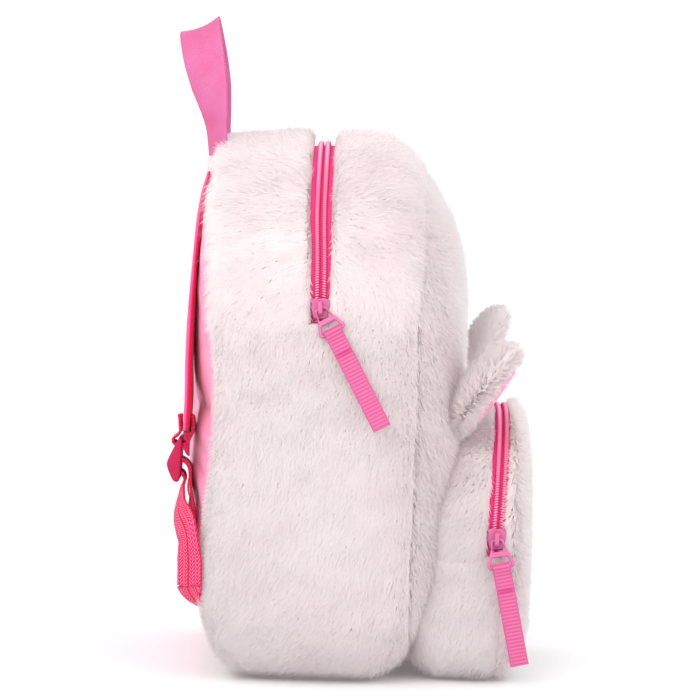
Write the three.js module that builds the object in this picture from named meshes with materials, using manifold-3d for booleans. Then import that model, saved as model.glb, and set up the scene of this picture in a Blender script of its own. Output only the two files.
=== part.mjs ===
// A child's plush backpack: a stuffed-looking fur bag with a smooth pink padded back, a zip over its arched top,
// a fur front pocket with a zip of its own and two ears, two padded shoulder straps and a webbing carry handle.
// Millimetres, +Z up. The bag stands on z = 0, its front faces -Y and the wearer's left side is -X.
import * as THREE from "three";
import { mergeVertices } from "three/addons/utils/BufferGeometryUtils.js";
import Module from "manifold-3d";

const wasm = await Module();
wasm.setup();

const CLEAR = 0.3; // between pieces that meet

// Driving sizes
const BODY = { width: 230, height: 300, depth: 143.5, backY: 78, cornerRadius: 40, shoulderHeight: 150, archPower: 2.35 };
const POCKET = { width: 176, height: 152, frontY: -103.5, tuck: 2, cornerRadius: 28, shoulderHeight: 70, archPower: 2.3 };
const FUR_WALL = 8.5; // pile and backing together
const POCKET_WALL = 6;
const SEAM_DIP = 2.2; // how far the pile sinks along a seam
const SEAM_ROLL = 7; // distance from a seam at which the pile is at its full height
const PANEL = { thickness: 3, bulgeY: 86.3, bulgePower: 2, inset: 0.957 };
const ZIP = { slotHalf: 5.8, tapeHalf: 8.6, tapeThickness: 1, chainHalf: 3.4, chainHeight: 2.5 };
const BODY_ZIP_DEPTH = 0.422; // share of the depth, from the back seam
const BODY_ZIP_END = 197; // height of each end of the main zip
const BODY_FRONT_SEAM = 0.815; // share of the depth where the front panel begins
const POCKET_ZIP_LINE = { lowY: -81.5, topY: -86.5 }; // the pocket zip leans forward towards its top
const POCKET_ZIP_END = 70;
const SLIDER = { length: 11, plate: 1.8, skirt: 0.9, crownGap: 2.6, crownBar: 1.5, crownHalf: 1.2 };
const PULL = { length: 16, topHalf: 3.4, lowHalf: 7.8, thickness: 1.5, rim: 1.5 };
const RIBBON = { width: 10, layer: 1.1 };
const MAIN_RIBBON_LENGTH = 58;
const POCKET_RIBBON_LENGTH = 54;
const WEBBING = { width: 20, thickness: 1.6 };
const HANDLE = { width: 23.5, thickness: 1.8, halfSpan: 24, rise: 65, lean: 12.5, topTilt: 24, baseTurn: 37 };
const STRAP = { topWidth: 38, endWidth: 32, thickness: 4.2 };
const STRAP_TAB = { across: 0.847, up: 0.148, behind: 5.5 }; // in the side seam: shares of half the width and of the height
const BUCKLE = {
  width: 27,
  length: 24,
  depth: 8.2,
  inner: -1.6, // its inner face, from its middle
  top: 12.4,
  topSlot: 8,
  middleSlot: 0,
  lowSlot: -6.3,
  slotHalf: 1.7,
  barFace: 3.6,
  down: 15, // below the end of the pad
  out: 1.2,
};
const EAR = { length: 68, width: 42, thick: 20, front: 0.4, innerWidth: 24, innerThickness: 1.6 };
const EAR_SEAT = { across: 0.568, below: 14, behind: 6.5 }; // on the pocket's top: share of half its width, and mm

// Side view of the back edge: how far it stands behind BODY.backY, as a share of the depth
const BACK_LINE = [
  { height: 0, back: -0.095 },
  { height: 0.05, back: -0.055 },
  { height: 0.1, back: -0.022 },
  { height: 0.16, back: 0 },
  { height: 0.22, back: 0.002 },
  { height: 0.33, back: -0.0174 },
  { height: 0.5, back: -0.035 },
  { height: 0.62, back: -0.0174 },
  { height: 0.75, back: -0.0035 },
  { height: 0.87, back: 0.01 },
  { height: 1, back: 0.007 },
];

// Cross-sections of the body from the back seam (0) to the middle of the front (1)
const BODY_SECTIONS = [
  { depth: 0, width: 0.905, low: 0.05, high: 0.955 },
  { depth: 0.03, width: 0.955, low: 0.02, high: 0.975 },
  { depth: 0.08, width: 0.985, low: 0.004, high: 0.985 },
  { depth: 0.17, width: 1, low: 0, high: 0.989 },
  { depth: 0.31, width: 1, low: 0, high: 0.995 },
  { depth: 0.45, width: 1, low: 0, high: 0.998 },
  { depth: 0.55, width: 1, low: 0, high: 1 },
  { depth: 0.64, width: 0.99, low: 0.004, high: 0.998 },
  { depth: 0.735, width: 0.95, low: 0.024, high: 0.977 },
  { depth: 0.78, width: 0.915, low: 0.042, high: 0.956 },
  { depth: 0.83, width: 0.855, low: 0.075, high: 0.918 },
  { depth: 0.88, width: 0.765, low: 0.12, high: 0.88 },
  { depth: 0.935, width: 0.655, low: 0.175, high: 0.826 },
  { depth: 0.965, width: 0.56, low: 0.22, high: 0.78 },
  { depth: 0.985, width: 0.42, low: 0.29, high: 0.71 },
  { depth: 1, width: 0, low: 0.5, high: 0.5 },
];

// Cross-sections of the pocket from its seam on the body (0) to the middle of its front (1)
const POCKET_SECTIONS = [
  { depth: 0, width: 0.955, low: 0.095, high: 0.94 },
  { depth: 0.12, width: 0.985, low: 0.03, high: 0.965 },
  { depth: 0.3, width: 1, low: 0, high: 0.985 },
  { depth: 0.5, width: 1, low: 0, high: 1 },
  { depth: 0.66, width: 1, low: 0, high: 1 },
  { depth: 0.8, width: 0.985, low: 0.015, high: 0.988 },
  { depth: 0.88, width: 0.94, low: 0.045, high: 0.95 },
  { depth: 0.945, width: 0.84, low: 0.11, high: 0.875 },
  { depth: 0.98, width: 0.64, low: 0.21, high: 0.76 },
  { depth: 1, width: 0, low: 0.5, high: 0.5 },
];

// The ears lean forward and outward, in degrees, and turn their inner faces outward
const EARS = [
  { name: "left", side: -1, forward: 33, splay: 37, turn: 14 },
  { name: "right", side: 1, forward: 26, splay: 8, turn: 10 },
];

// Cross-sections of an ear from its base (0) to its tip (1)
const EAR_SECTIONS = [
  { along: -0.2, width: 0.6, thick: 0.9, inner: 0 },
  { along: 0, width: 0.68, thick: 0.95, inner: 0 },
  { along: 0.16, width: 0.82, thick: 1, inner: 0.45 },
  { along: 0.34, width: 0.97, thick: 1, inner: 0.95 },
  { along: 0.52, width: 1, thick: 0.97, inner: 1 },
  { along: 0.7, width: 0.9, thick: 0.9, inner: 0.82 },
  { along: 0.84, width: 0.68, thick: 0.76, inner: 0.35 },
  { along: 0.94, width: 0.4, thick: 0.55, inner: 0 },
  { along: 1, width: 0.03, thick: 0.05, inner: 0 },
];

// Soft creases on the fur of each side: ends in shares of depth and height, and the drop in shares of the wall
const CREASES = [
  { side: -1, depth0: 0.37, height0: 0.42, depth1: 0.72, height1: 0.13, drop: 0.3, reach: 0.06 },
  { side: -1, depth0: 0.1, height0: 0.83, depth1: 0.32, height1: 0.8, drop: 0.2, reach: 0.06 },
  { side: 1, depth0: 0.4, height0: 0.45, depth1: 0.68, height1: 0.2, drop: 0.3, reach: 0.06 },
];

// Smooth interpolation of one named column of a table, without overshoot
function column(table, key, name, at) {
  const last = table.length - 1;
  if (at <= table[0][key]) return table[0][name];
  if (at >= table[last][key]) return table[last][name];
  let i = 0;
  while (at > table[i + 1][key]) i++;
  const slope = (k) => (table[k + 1][name] - table[k][name]) / (table[k + 1][key] - table[k][key]);
  const knot = (k) => {
    if (k === 0) return slope(0);
    if (k === last) return slope(last - 1);
    const before = slope(k - 1);
    const after = slope(k);
    return before * after <= 0 ? 0 : (2 * before * after) / (before + after);
  };
  const span = table[i + 1][key] - table[i][key];
  const t = (at - table[i][key]) / span;
  const h = 1 - t;
  return (
    table[i][name] * h * h * (1 + 2 * t) +
    knot(i) * span * t * h * h +
    table[i + 1][name] * t * t * (3 - 2 * t) -
    knot(i + 1) * span * t * t * h
  );
}

// An arched outline with a flat bottom: loop 0 is its bottom middle, 4 its top middle, 8 the bottom again.
// It goes up the wearer's left side first. Gives x as a share of half the width and z as a share of the height.
function archOutline(size) {
  const half = size.width / 2;
  const flat = half - size.cornerRadius;
  const arch = size.height - size.shoulderHeight;
  return (loop) => {
    const at = loop <= 4 ? loop : 8 - loop;
    const span = Math.min(3, Math.floor(at));
    const t = at - span;
    const turn = (t * Math.PI) / 2;
    let x = half;
    let z = size.cornerRadius + t * (size.shoulderHeight - size.cornerRadius);
    if (span === 0) {
      x = flat * t;
      z = 0;
    } else if (span === 1) {
      x = flat + size.cornerRadius * Math.sin(turn);
      z = size.cornerRadius * (1 - Math.cos(turn));
    } else if (span === 3) {
      x = half * Math.max(0, Math.cos(turn)) ** (2 / size.archPower);
      z = size.shoulderHeight + arch * Math.sin(turn) ** (2 / size.archPower);
    }
    return { x: (loop <= 4 ? -x : x) / half, z: z / size.height };
  };
}

// Half the width of that outline at a height, both as shares
function archHalf(size, z) {
  const height = z * size.height;
  if (height < 0 || height > size.height) return -1;
  const half = size.width / 2;
  if (height < size.cornerRadius) {
    const up = size.cornerRadius - height;
    return (half - size.cornerRadius + Math.sqrt(size.cornerRadius ** 2 - up ** 2)) / half;
  }
  if (height < size.shoulderHeight) return 1;
  const share = (height - size.shoulderHeight) / (size.height - size.shoulderHeight);
  return (1 - share ** size.archPower) ** (1 / size.archPower);
}

// The place on the outline's loop, on the arch of the wearer's left side, that has this height
function loopAtHeight(size, height) {
  const share = (height - size.shoulderHeight) / (size.height - size.shoulderHeight);
  return 3 + Math.asin(share ** (size.archPower / 2)) / (Math.PI / 2);
}

const bodyOutline = archOutline(BODY);
const pocketOutline = archOutline(POCKET);
const backAt = (height) => BODY.backY + BODY.depth * column(BACK_LINE, "height", "back", height / BODY.height);
const bodyFrontY = BODY.backY - BODY.depth;

function creaseDrop(x, depth, height) {
  let drop = 0;
  for (const c of CREASES) {
    if (Math.sign(x) !== c.side || Math.abs(x) < 0.4 * BODY.width) continue;
    const du = c.depth1 - c.depth0;
    const dv = c.height1 - c.height0;
    const t = ((depth - c.depth0) * du + (height - c.height0) * dv) / (du * du + dv * dv);
    const s = Math.min(1, Math.max(0, t));
    const far = Math.hypot(depth - c.depth0 - s * du, height - c.height0 - s * dv) / c.reach;
    drop += c.drop * FUR_WALL * Math.exp(-far * far);
  }
  const inside = Math.min(1, depth / 0.06, Math.max(0, (0.76 - depth) / 0.08));
  return drop * inside;
}

// The body's outside: loop goes round the outline, depth from the back seam to the middle of the front
function bodyPoint(loop, depth) {
  const o = bodyOutline(loop);
  const low = column(BODY_SECTIONS, "depth", "low", depth);
  const high = column(BODY_SECTIONS, "depth", "high", depth);
  const height = low + o.z * (high - low);
  const x = (o.x * BODY.width * column(BODY_SECTIONS, "depth", "width", depth)) / 2;
  const y = backAt(height * BODY.height) * (1 - depth) + bodyFrontY * depth;
  return new THREE.Vector3(x - Math.sign(x) * creaseDrop(x, depth, height), y, height * BODY.height);
}

// The y of the body's front surface over a point of the front view
function bodyFrontAt(x, z) {
  let near = 0.55;
  let far = 1;
  for (let i = 0; i < 40; i++) {
    const depth = (near + far) / 2;
    const low = column(BODY_SECTIONS, "depth", "low", depth);
    const high = column(BODY_SECTIONS, "depth", "high", depth);
    const width = column(BODY_SECTIONS, "depth", "width", depth);
    const half = archHalf(BODY, (z / BODY.height - low) / Math.max(1e-6, high - low));
    const inside = half >= 0 && Math.abs(x) < (half * width * BODY.width) / 2;
    if (inside) near = depth;
    else far = depth;
  }
  return backAt(z) * (1 - near) + bodyFrontY * near;
}

// The pocket's seam on the body, and its outside from there to the middle of its front
function pocketSeam(loop) {
  const o = pocketOutline(loop);
  const first = POCKET_SECTIONS[0];
  const x = (o.x * POCKET.width * first.width) / 2;
  const z = POCKET.height * (first.low + o.z * (first.high - first.low));
  return bodyFrontAt(x, z) + POCKET.tuck;
}

function pocketPoint(loop, depth) {
  const o = pocketOutline(loop);
  const low = column(POCKET_SECTIONS, "depth", "low", depth);
  const high = column(POCKET_SECTIONS, "depth", "high", depth);
  const x = (o.x * POCKET.width * column(POCKET_SECTIONS, "depth", "width", depth)) / 2;
  const y = pocketSeam(loop) * (1 - depth) + POCKET.frontY * depth;
  return new THREE.Vector3(x, y, POCKET.height * (low + o.z * (high - low)));
}

// The back panel's outside: fill is 1 at its edge and 0 in its middle
const panelY = (edgeZ, fill) => {
  const rim = backAt(edgeZ) + CLEAR;
  return PANEL.bulgeY - (PANEL.bulgeY - rim) * fill ** PANEL.bulgePower;
};
function panelPoint(loop, fill) {
  const edge = bodyPoint(loop, 0);
  const middle = BODY.height / 2;
  const scale = fill * PANEL.inset;
  return new THREE.Vector3(edge.x * scale, panelY(edge.z, fill), middle + (edge.z - middle) * scale);
}

// The y of the back panel's outside over a point of the back view
function panelAt(x, z) {
  const row = BODY_SECTIONS[0];
  const middle = BODY.height / 2;
  let inside = 0.01;
  let outside = 1;
  for (let i = 0; i < 30; i++) {
    const fill = (inside + outside) / 2;
    const edgeZ = middle + (z - middle) / (fill * PANEL.inset);
    const half = archHalf(BODY, (edgeZ / BODY.height - row.low) / (row.high - row.low));
    const edgeX = Math.abs(x) / (fill * PANEL.inset);
    if (half >= 0 && edgeX < (half * row.width * BODY.width) / 2) outside = fill;
    else inside = fill;
  }
  return panelY(middle + (z - middle) / (outside * PANEL.inset), outside);
}

const pocketZipDepth = (loop) => {
  const at = ((loop % 8) + 8) % 8;
  const up = pocketOutline(at).z;
  const y = POCKET_ZIP_LINE.lowY + (POCKET_ZIP_LINE.topY - POCKET_ZIP_LINE.lowY) * Math.max(0, (up - 0.3) / 0.7);
  return (pocketSeam(at) - y) / (pocketSeam(at) - POCKET.frontY);
};

// The outward unit normal of a surface
function normalAt(surface, loop, depth, centre) {
  const step = 1e-3;
  const up = Math.min(depth + step, 1 - 1e-4);
  const down = Math.max(Math.min(depth - step, up - step), 0);
  const along = surface(loop + step, Math.min(depth, up)).sub(surface(loop - step, Math.min(depth, up)));
  const across = surface(loop, up).sub(surface(loop, down));
  const normal = along.cross(across).normalize();
  const outward = surface(loop, depth).sub(centre);
  return normal.dot(outward) < 0 ? normal.negate() : normal;
}

const BODY_CENTRE = new THREE.Vector3(0, BODY.backY - BODY.depth / 2, BODY.height / 2);
const POCKET_CENTRE = new THREE.Vector3(0, POCKET.frontY / 2, POCKET.height / 2);
const PANEL_CENTRE = new THREE.Vector3(0, 0, BODY.height / 2);

function toSolid(positions, triangles) {
  const build = (tris) =>
    new wasm.Manifold(
      new wasm.Mesh({ numProp: 3, vertProperties: Float32Array.from(positions), triVerts: Uint32Array.from(tris) }),
    );
  const made = build(triangles);
  if (made.volume() > 0) return made;
  const turned = triangles.slice();
  for (let i = 0; i < turned.length; i += 3) [turned[i + 1], turned[i + 2]] = [turned[i + 2], turned[i + 1]];
  return build(turned);
}

function solidFromGeometry(geometry) {
  const plain = new THREE.BufferGeometry().setAttribute("position", geometry.getAttribute("position"));
  if (geometry.index) plain.setIndex(geometry.index);
  const merged = mergeVertices(plain, 1e-4);
  return toSolid(merged.getAttribute("position").array, Array.from(merged.index.array));
}

function geometryFromSolid(solid) {
  const mesh = solid.getMesh();
  const geometry = new THREE.BufferGeometry();
  geometry.setAttribute("position", new THREE.BufferAttribute(new Float32Array(mesh.vertProperties), 3));
  geometry.setIndex(new THREE.BufferAttribute(new Uint32Array(mesh.triVerts), 1));
  geometry.computeVertexNormals();
  return geometry;
}

// A sewn panel of a surface: a wall whose outer face sinks a little along its seams.
// rows(loop) lists the depths; a pole closes the last row to one point, and a ring joins the last loop to the first.
function sewnPanel({ surface, centre, loops, rows, wall, dipFirst = 0, dipLast = 0, dipEnds = 0, ring = false, pole = false }) {
  const count = rows(loops[0]).length;
  const outer = [];
  const inner = [];
  for (let i = 0; i < loops.length; i++) {
    const depths = rows(loops[i]);
    for (let j = 0; j < count; j++) {
      const p = surface(loops[i], depths[j]);
      const n = pole && j === count - 1 ? null : normalAt(surface, loops[i], depths[j], centre);
      const normal = n || new THREE.Vector3(0, Math.sign(p.y - centre.y), 0);
      let dip = 0;
      if (j === 0) dip = dipFirst;
      if (j === count - 1) dip = dipLast;
      if (!ring && (i === 0 || i === loops.length - 1)) dip = Math.max(dip, dipEnds);
      if (p.z < 1e-6) dip = 0;
      outer.push(p.clone().addScaledVector(normal, -dip));
      inner.push(p.clone().addScaledVector(normal, -wall));
    }
  }
  const positions = [];
  [...outer, ...inner].forEach((p) => positions.push(p.x, p.y, p.z));
  const half = outer.length;
  const last = loops.length - 1;
  const index = (i, j) => (pole && j === count - 1 ? j : (ring ? i % loops.length : i) * count + j);
  const triangles = [];
  const face = (a, b, c) => {
    if (a !== b && b !== c && c !== a) triangles.push(a, b, c);
  };
  const quad = (a, b, c, d) => {
    face(a, b, c);
    face(a, c, d);
  };
  const spans = ring ? loops.length : last;
  for (let i = 0; i < spans; i++) {
    for (let j = 0; j < count - 1; j++) {
      quad(index(i, j), index(i + 1, j), index(i + 1, j + 1), index(i, j + 1));
      quad(half + index(i, j), half + index(i, j + 1), half + index(i + 1, j + 1), half + index(i + 1, j));
    }
    quad(index(i, 0), half + index(i, 0), half + index(i + 1, 0), index(i + 1, 0));
    if (!pole) {
      const j = count - 1;
      quad(index(i, j), index(i + 1, j), half + index(i + 1, j), half + index(i, j));
    }
  }
  if (!ring) {
    for (let j = 0; j < count - 1; j++) {
      quad(index(0, j), index(0, j + 1), half + index(0, j + 1), half + index(0, j));
      quad(index(last, j), half + index(last, j), half + index(last, j + 1), index(last, j + 1));
    }
  }
  return compact(positions, triangles);
}

// Drops the points that no triangle uses, and makes the solid
function compact(positions, triangles) {
  const renamed = new Map();
  const kept = [];
  const tris = triangles.map((v) => {
    if (!renamed.has(v)) {
      renamed.set(v, renamed.size);
      kept.push(positions[3 * v], positions[3 * v + 1], positions[3 * v + 2]);
    }
    return renamed.get(v);
  });
  return toSolid(kept, tris);
}

// A solid through cross-sections, each the same polygon's points put in place by a function
function loft(section, places) {
  const polygon = THREE.ShapeUtils.isClockWise(section) ? section.slice().reverse() : section;
  const positions = [];
  places.forEach((place) =>
    polygon.forEach((q) => {
      const p = place(q);
      positions.push(p.x, p.y, p.z);
    }),
  );
  const n = polygon.length;
  const triangles = [];
  for (let i = 0; i < places.length - 1; i++) {
    for (let j = 0; j < n; j++) {
      const k = (j + 1) % n;
      triangles.push(i * n + j, i * n + k, (i + 1) * n + k, i * n + j, (i + 1) * n + k, (i + 1) * n + j);
    }
  }
  const end = (places.length - 1) * n;
  for (const [a, b, c] of THREE.ShapeUtils.triangulateShape(polygon, [])) {
    triangles.push(a, c, b, end + a, end + b, end + c);
  }
  return toSolid(positions, triangles);
}

// A flat strip along a smooth line. Each stop has a place, the direction of the strip's width, and its sizes.
function strip(stops, steps, section = FLAT_SECTION) {
  const line = new THREE.CatmullRomCurve3(stops.map((s) => s.at), false, "centripetal");
  const places = [];
  for (let i = 0; i <= steps; i++) {
    const t = i / steps;
    const k = Math.min(stops.length - 2, Math.floor(t * (stops.length - 1)));
    const f = t * (stops.length - 1) - k;
    const wide = stops[k].wide.clone().lerp(stops[k + 1].wide, f);
    const width = THREE.MathUtils.lerp(stops[k].width, stops[k + 1].width, f);
    const thick = THREE.MathUtils.lerp(stops[k].thick, stops[k + 1].thick, f);
    const along = line.getTangent(t);
    const across = wide.addScaledVector(along, -wide.dot(along)).normalize();
    const normal = along.clone().cross(across);
    const p = line.getPoint(t);
    places.push((q) => p.clone().addScaledVector(across, q.x * width).addScaledVector(normal, q.y * thick));
  }
  return loft(section, places);
}

// Cross-sections of a strip, in shares of its width and thickness: a plain one and one with rounded edges
const corners = (points) => points.map(([x, y]) => new THREE.Vector2(x, y));
const FLAT_SECTION = corners([[-0.5, -0.5], [0.5, -0.5], [0.5, 0.5], [-0.5, 0.5]]);
const PADDED_SECTION = corners([
  [-0.5, -0.2],
  [-0.44, -0.5],
  [0.44, -0.5],
  [0.5, -0.2],
  [0.5, 0.2],
  [0.44, 0.5],
  [-0.44, 0.5],
  [-0.5, 0.2],
]);

const range = (from, to, steps) => Array.from({ length: steps + 1 }, (_, i) => from + ((to - from) * i) / steps);

// Loop places all round: the lower ones to the zip's left end, the zip's own, and the lower ones mirrored
function ringLoops(lower, zipLeft, steps) {
  const below = lower.filter((l) => l < zipLeft - 0.02);
  return [...below, ...range(zipLeft, 8 - zipLeft, steps), ...below.slice(1).reverse().map((l) => 8 - l)];
}

// The largest of a solid's separate bodies, after other solids are cut away
function cutBy(solid, ...cutters) {
  const left = cutters.reduce((rest, cutter) => rest.subtract(cutter), solid);
  return left.decompose().sort((a, b) => b.volume() - a.volume())[0];
}

const group = new THREE.Group();

const FUR = { color: 0xf6e6e4, roughness: 0.95, metalness: 0 };
const SATIN = { color: 0xe9a2ba, roughness: 0.5, metalness: 0 };
const PINK_WEBBING = { color: 0xfb7db3, roughness: 0.7, metalness: 0 };
const PINK_PAD = { color: 0xf0688f, roughness: 0.7, metalness: 0 };
const PINK_PLASTIC = { color: 0xe84a80, roughness: 0.35, metalness: 0 };
const PINK_SLIDER = { color: 0xf77cb6, roughness: 0.3, metalness: 0.1 };
const PINK_ZIP = { color: 0xf46aa5, roughness: 0.45, metalness: 0 };

function add(name, solid, finish) {
  const mesh = new THREE.Mesh(geometryFromSolid(solid), new THREE.MeshStandardMaterial(finish));
  mesh.name = name;
  group.add(mesh);
}

// Main body
const bodyZipLeft = loopAtHeight(BODY, BODY_ZIP_END);
const bodyZipRight = 8 - bodyZipLeft;
const bodyShare = (mm) => mm / BODY.depth;
const bodyLoopGap = CLEAR / 2 / 190;
const BODY_ARCH_STEPS = 20;
const endsIn = (loops, gap) => loops.map((l, i) => l + (i === 0 ? gap : 0) - (i === loops.length - 1 ? gap : 0));
const topLoops = endsIn(range(bodyZipLeft, bodyZipRight, BODY_ARCH_STEPS), bodyLoopGap);
const bodySideLoops = [...range(0, 1, 2), ...range(1, 2, 4).slice(1), ...range(2, 3, 4).slice(1)];
const lowerLeft = [...bodySideLoops, bodyZipLeft - bodyLoopGap];
const lowerLoops = [...lowerLeft.slice(1).reverse(), ...lowerLeft.map((l) => -l)];
const bodyRing = ringLoops(bodySideLoops, bodyZipLeft, BODY_ARCH_STEPS);

const wrap = (surface) => (loop, depth) => surface(((loop % 8) + 8) % 8, depth);
const bodySurface = wrap(bodyPoint);
const pocketSurface = wrap(pocketPoint);

const bodyPanel = (settings) =>
  sewnPanel({ surface: bodySurface, centre: BODY_CENTRE, wall: FUR_WALL, dipEnds: SEAM_DIP, ...settings });

const seamHalf = bodyShare(CLEAR * 0.6);
const rollShare = bodyShare(SEAM_ROLL);
const slotShare = bodyShare(ZIP.slotHalf);
const rearTopRows = [0, 0.03, 0.08, 0.17, 0.29, BODY_ZIP_DEPTH - slotShare - rollShare, BODY_ZIP_DEPTH - slotShare];
const frontTopRows = [
  BODY_ZIP_DEPTH + slotShare,
  BODY_ZIP_DEPTH + slotShare + rollShare,
  0.58,
  0.66,
  0.735,
  BODY_FRONT_SEAM - seamHalf - rollShare * 0.6,
  BODY_FRONT_SEAM - seamHalf,
];
const lowerRows = [0, 0.03, 0.08, 0.17, 0.31, 0.45, 0.55, 0.64, 0.735, frontTopRows[5], frontTopRows[6]];
const frontRows = [BODY_FRONT_SEAM + seamHalf, BODY_FRONT_SEAM + seamHalf + rollShare * 0.6, 0.9, 0.945, 0.975, 1];

const gussetTopRear = bodyPanel({ loops: topLoops, rows: () => rearTopRows, dipLast: SEAM_DIP });
const gussetTopFront = bodyPanel({ loops: topLoops, rows: () => frontTopRows, dipFirst: SEAM_DIP, dipLast: SEAM_DIP });
const gussetLower = bodyPanel({ loops: lowerLoops, rows: () => lowerRows, dipLast: SEAM_DIP });
const frontPanel = bodyPanel({
  loops: bodyRing,
  rows: () => frontRows,
  dipFirst: SEAM_DIP,
  ring: true,
  pole: true,
});

// What other pieces must stay clear of: the body's and the pocket's outsides grown by the gap
function shell(surface, centre, loops, rows, wall, pole = false) {
  const grown = (loop, depth) => {
    const normal = normalAt(surface, loop, Math.max(0, depth), centre);
    return surface(loop, depth).addScaledVector(normal, CLEAR);
  };
  return sewnPanel({ surface: grown, centre, loops, rows, wall, ring: true, pole });
}
const bodyShell = shell(bodySurface, BODY_CENTRE, bodyRing, () => [-bodyShare(CLEAR), ...rearTopRows.slice(1, 5)], 14);
const frontShellRows = [...lowerRows.slice(7), ...frontRows.slice(1)];
const frontShell = shell(bodySurface, BODY_CENTRE, bodyRing, () => frontShellRows, 20, true);

// Padded back panel
const backPanel = sewnPanel({
  surface: (loop, depth) => wrap(panelPoint)(loop, 1 - depth),
  centre: PANEL_CENTRE,
  loops: bodyRing,
  rows: () => [0, 0.06, 0.2, 0.4, 0.65, 1],
  wall: PANEL.thickness,
  ring: true,
  pole: true,
});

// Pocket
const pocketZipLeft = loopAtHeight(POCKET, POCKET_ZIP_END + 0.6);
const pocketZipRight = 8 - pocketZipLeft;
const pocketLoopGap = CLEAR / 2 / 110;
const pocketShare = (loop, mm) => mm / (pocketSeam(((loop % 8) + 8) % 8) - POCKET.frontY);
const POCKET_ARCH_STEPS = 18;
const pocketTopLoops = endsIn(range(pocketZipLeft, pocketZipRight, POCKET_ARCH_STEPS), pocketLoopGap);
const pocketSideLoops = [...range(0, 1, 2), ...range(1, 2, 4).slice(1), ...range(2, 3, 2).slice(1, -1)];
const pocketLowerLeft = [...pocketSideLoops, pocketZipLeft - pocketLoopGap];
const pocketRing = ringLoops(pocketSideLoops, pocketZipLeft, POCKET_ARCH_STEPS);
const pocketLowerLoops = [...pocketLowerLeft.slice(1).reverse(), ...pocketLowerLeft.map((l) => -l)];

const pocketPanel = (settings) =>
  sewnPanel({ surface: pocketSurface, centre: POCKET_CENTRE, wall: POCKET_WALL, dipEnds: SEAM_DIP, ...settings });

const pocketTopRows = (loop) => {
  const edge = pocketZipDepth(loop) - pocketShare(loop, ZIP.slotHalf);
  return [0, edge * 0.25, edge * 0.55, edge - pocketShare(loop, SEAM_ROLL * 0.6), edge];
};
const pocketLowerRows = (loop) => {
  const edge = pocketZipDepth(loop) + pocketShare(loop, ZIP.slotHalf - CLEAR);
  return [0, 0.12, 0.3, 0.5, edge - pocketShare(loop, SEAM_ROLL * 0.6), edge];
};
const pocketFrontRows = (loop) => {
  const edge = pocketZipDepth(loop) + pocketShare(loop, ZIP.slotHalf);
  return [edge, edge + pocketShare(loop, 2.5), Math.max(0.88, edge + pocketShare(loop, 4)), 0.945, 0.98, 1];
};
const sewnOn = (settings) => cutBy(pocketPanel({ dipFirst: SEAM_DIP, ...settings }), frontShell);
const pocketGussetTop = sewnOn({ loops: pocketTopLoops, rows: pocketTopRows, dipLast: SEAM_DIP });
const pocketGussetLower = sewnOn({ loops: pocketLowerLoops, rows: pocketLowerRows, dipLast: 1 });
const pocketShell = shell(pocketSurface, POCKET_CENTRE, pocketRing, (loop) => [-0.02, ...pocketTopRows(loop).slice(1)], 20);
const pocketFront = pocketPanel({ loops: pocketRing, rows: pocketFrontRows, dipFirst: 1, ring: true, pole: true });

// Zips: the tape lies under the fur's edges, and the chain of coils on the tape shows in the slot
function zip({ surface, centre, from, to, steps, depth, share, wall }) {
  const loops = range(from, to, steps);
  const tapeRows = (loop) => [-1, 0, 1].map((k) => depth(loop) + share(loop, k * ZIP.tapeHalf));
  const sunk = (offset) => (loop, at) =>
    surface(loop, at).addScaledVector(normalAt(surface, loop, at, centre), -offset);
  const under = sunk(wall + 1.5 * CLEAR);
  const tape = sewnPanel({ surface: under, centre, loops, rows: tapeRows, wall: ZIP.tapeThickness });
  const h = ZIP.chainHalf;
  const top = ZIP.chainHeight;
  const humps = [
    [-h, 0],
    [-h, 0.6 * top],
    [-0.72 * h, top],
    [-0.3 * h, top],
    [0, 0.6 * top],
    [0.3 * h, top],
    [0.72 * h, top],
    [h, 0.6 * top],
    [h, 0],
  ].map(([b, n]) => new THREE.Vector2(b, n));
  const end = (to - from) / steps / 12;
  const chain = loft(
    humps,
    range(from + end, to - end, steps).map((loop) => (q) => {
      const middle = depth(loop);
      const normal = normalAt(surface, loop, middle, centre);
      const aside = share(loop, q.x);
      const lift = q.y - wall - surfaceSag(surface, loop, middle, aside, normal);
      return surface(loop, middle + aside).addScaledVector(normal, lift);
    }),
  );
  return { tape, chain };
}

// How far the surface stands above its own middle line, along the middle's normal
function surfaceSag(surface, loop, depth, aside, normal) {
  return surface(loop, depth + aside).sub(surface(loop, depth)).dot(normal);
}

const mainZip = zip({
  surface: bodySurface,
  centre: BODY_CENTRE,
  from: bodyZipLeft,
  to: bodyZipRight,
  steps: BODY_ARCH_STEPS,
  depth: () => BODY_ZIP_DEPTH,
  share: (loop, mm) => bodyShare(mm),
  wall: FUR_WALL,
});
const pocketZip = zip({
  surface: pocketSurface,
  centre: POCKET_CENTRE,
  from: pocketZipLeft,
  to: pocketZipRight,
  steps: POCKET_ARCH_STEPS,
  depth: pocketZipDepth,
  share: pocketShare,
  wall: POCKET_WALL,
});

const block = (x0, x1, y0, y1, z0, z1) =>
  solidFromGeometry(
    new THREE.BoxGeometry(x1 - x0, y1 - y0, z1 - z0).translate((x0 + x1) / 2, (y0 + y1) / 2, (z0 + z1) / 2),
  );

// A shape with its outline turned anticlockwise
function polygonShape(corners) {
  const points = corners.map(([x, y]) => new THREE.Vector2(x, y));
  return new THREE.Shape(THREE.ShapeUtils.isClockWise(points) ? points.reverse() : points);
}

// A plate of this outline, between two heights
function plate(shape, from, to) {
  const geometry = new THREE.ExtrudeGeometry(shape, { depth: to - from, bevelEnabled: false, curveSegments: 8 });
  return solidFromGeometry(geometry.translate(0, 0, from));
}

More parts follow.
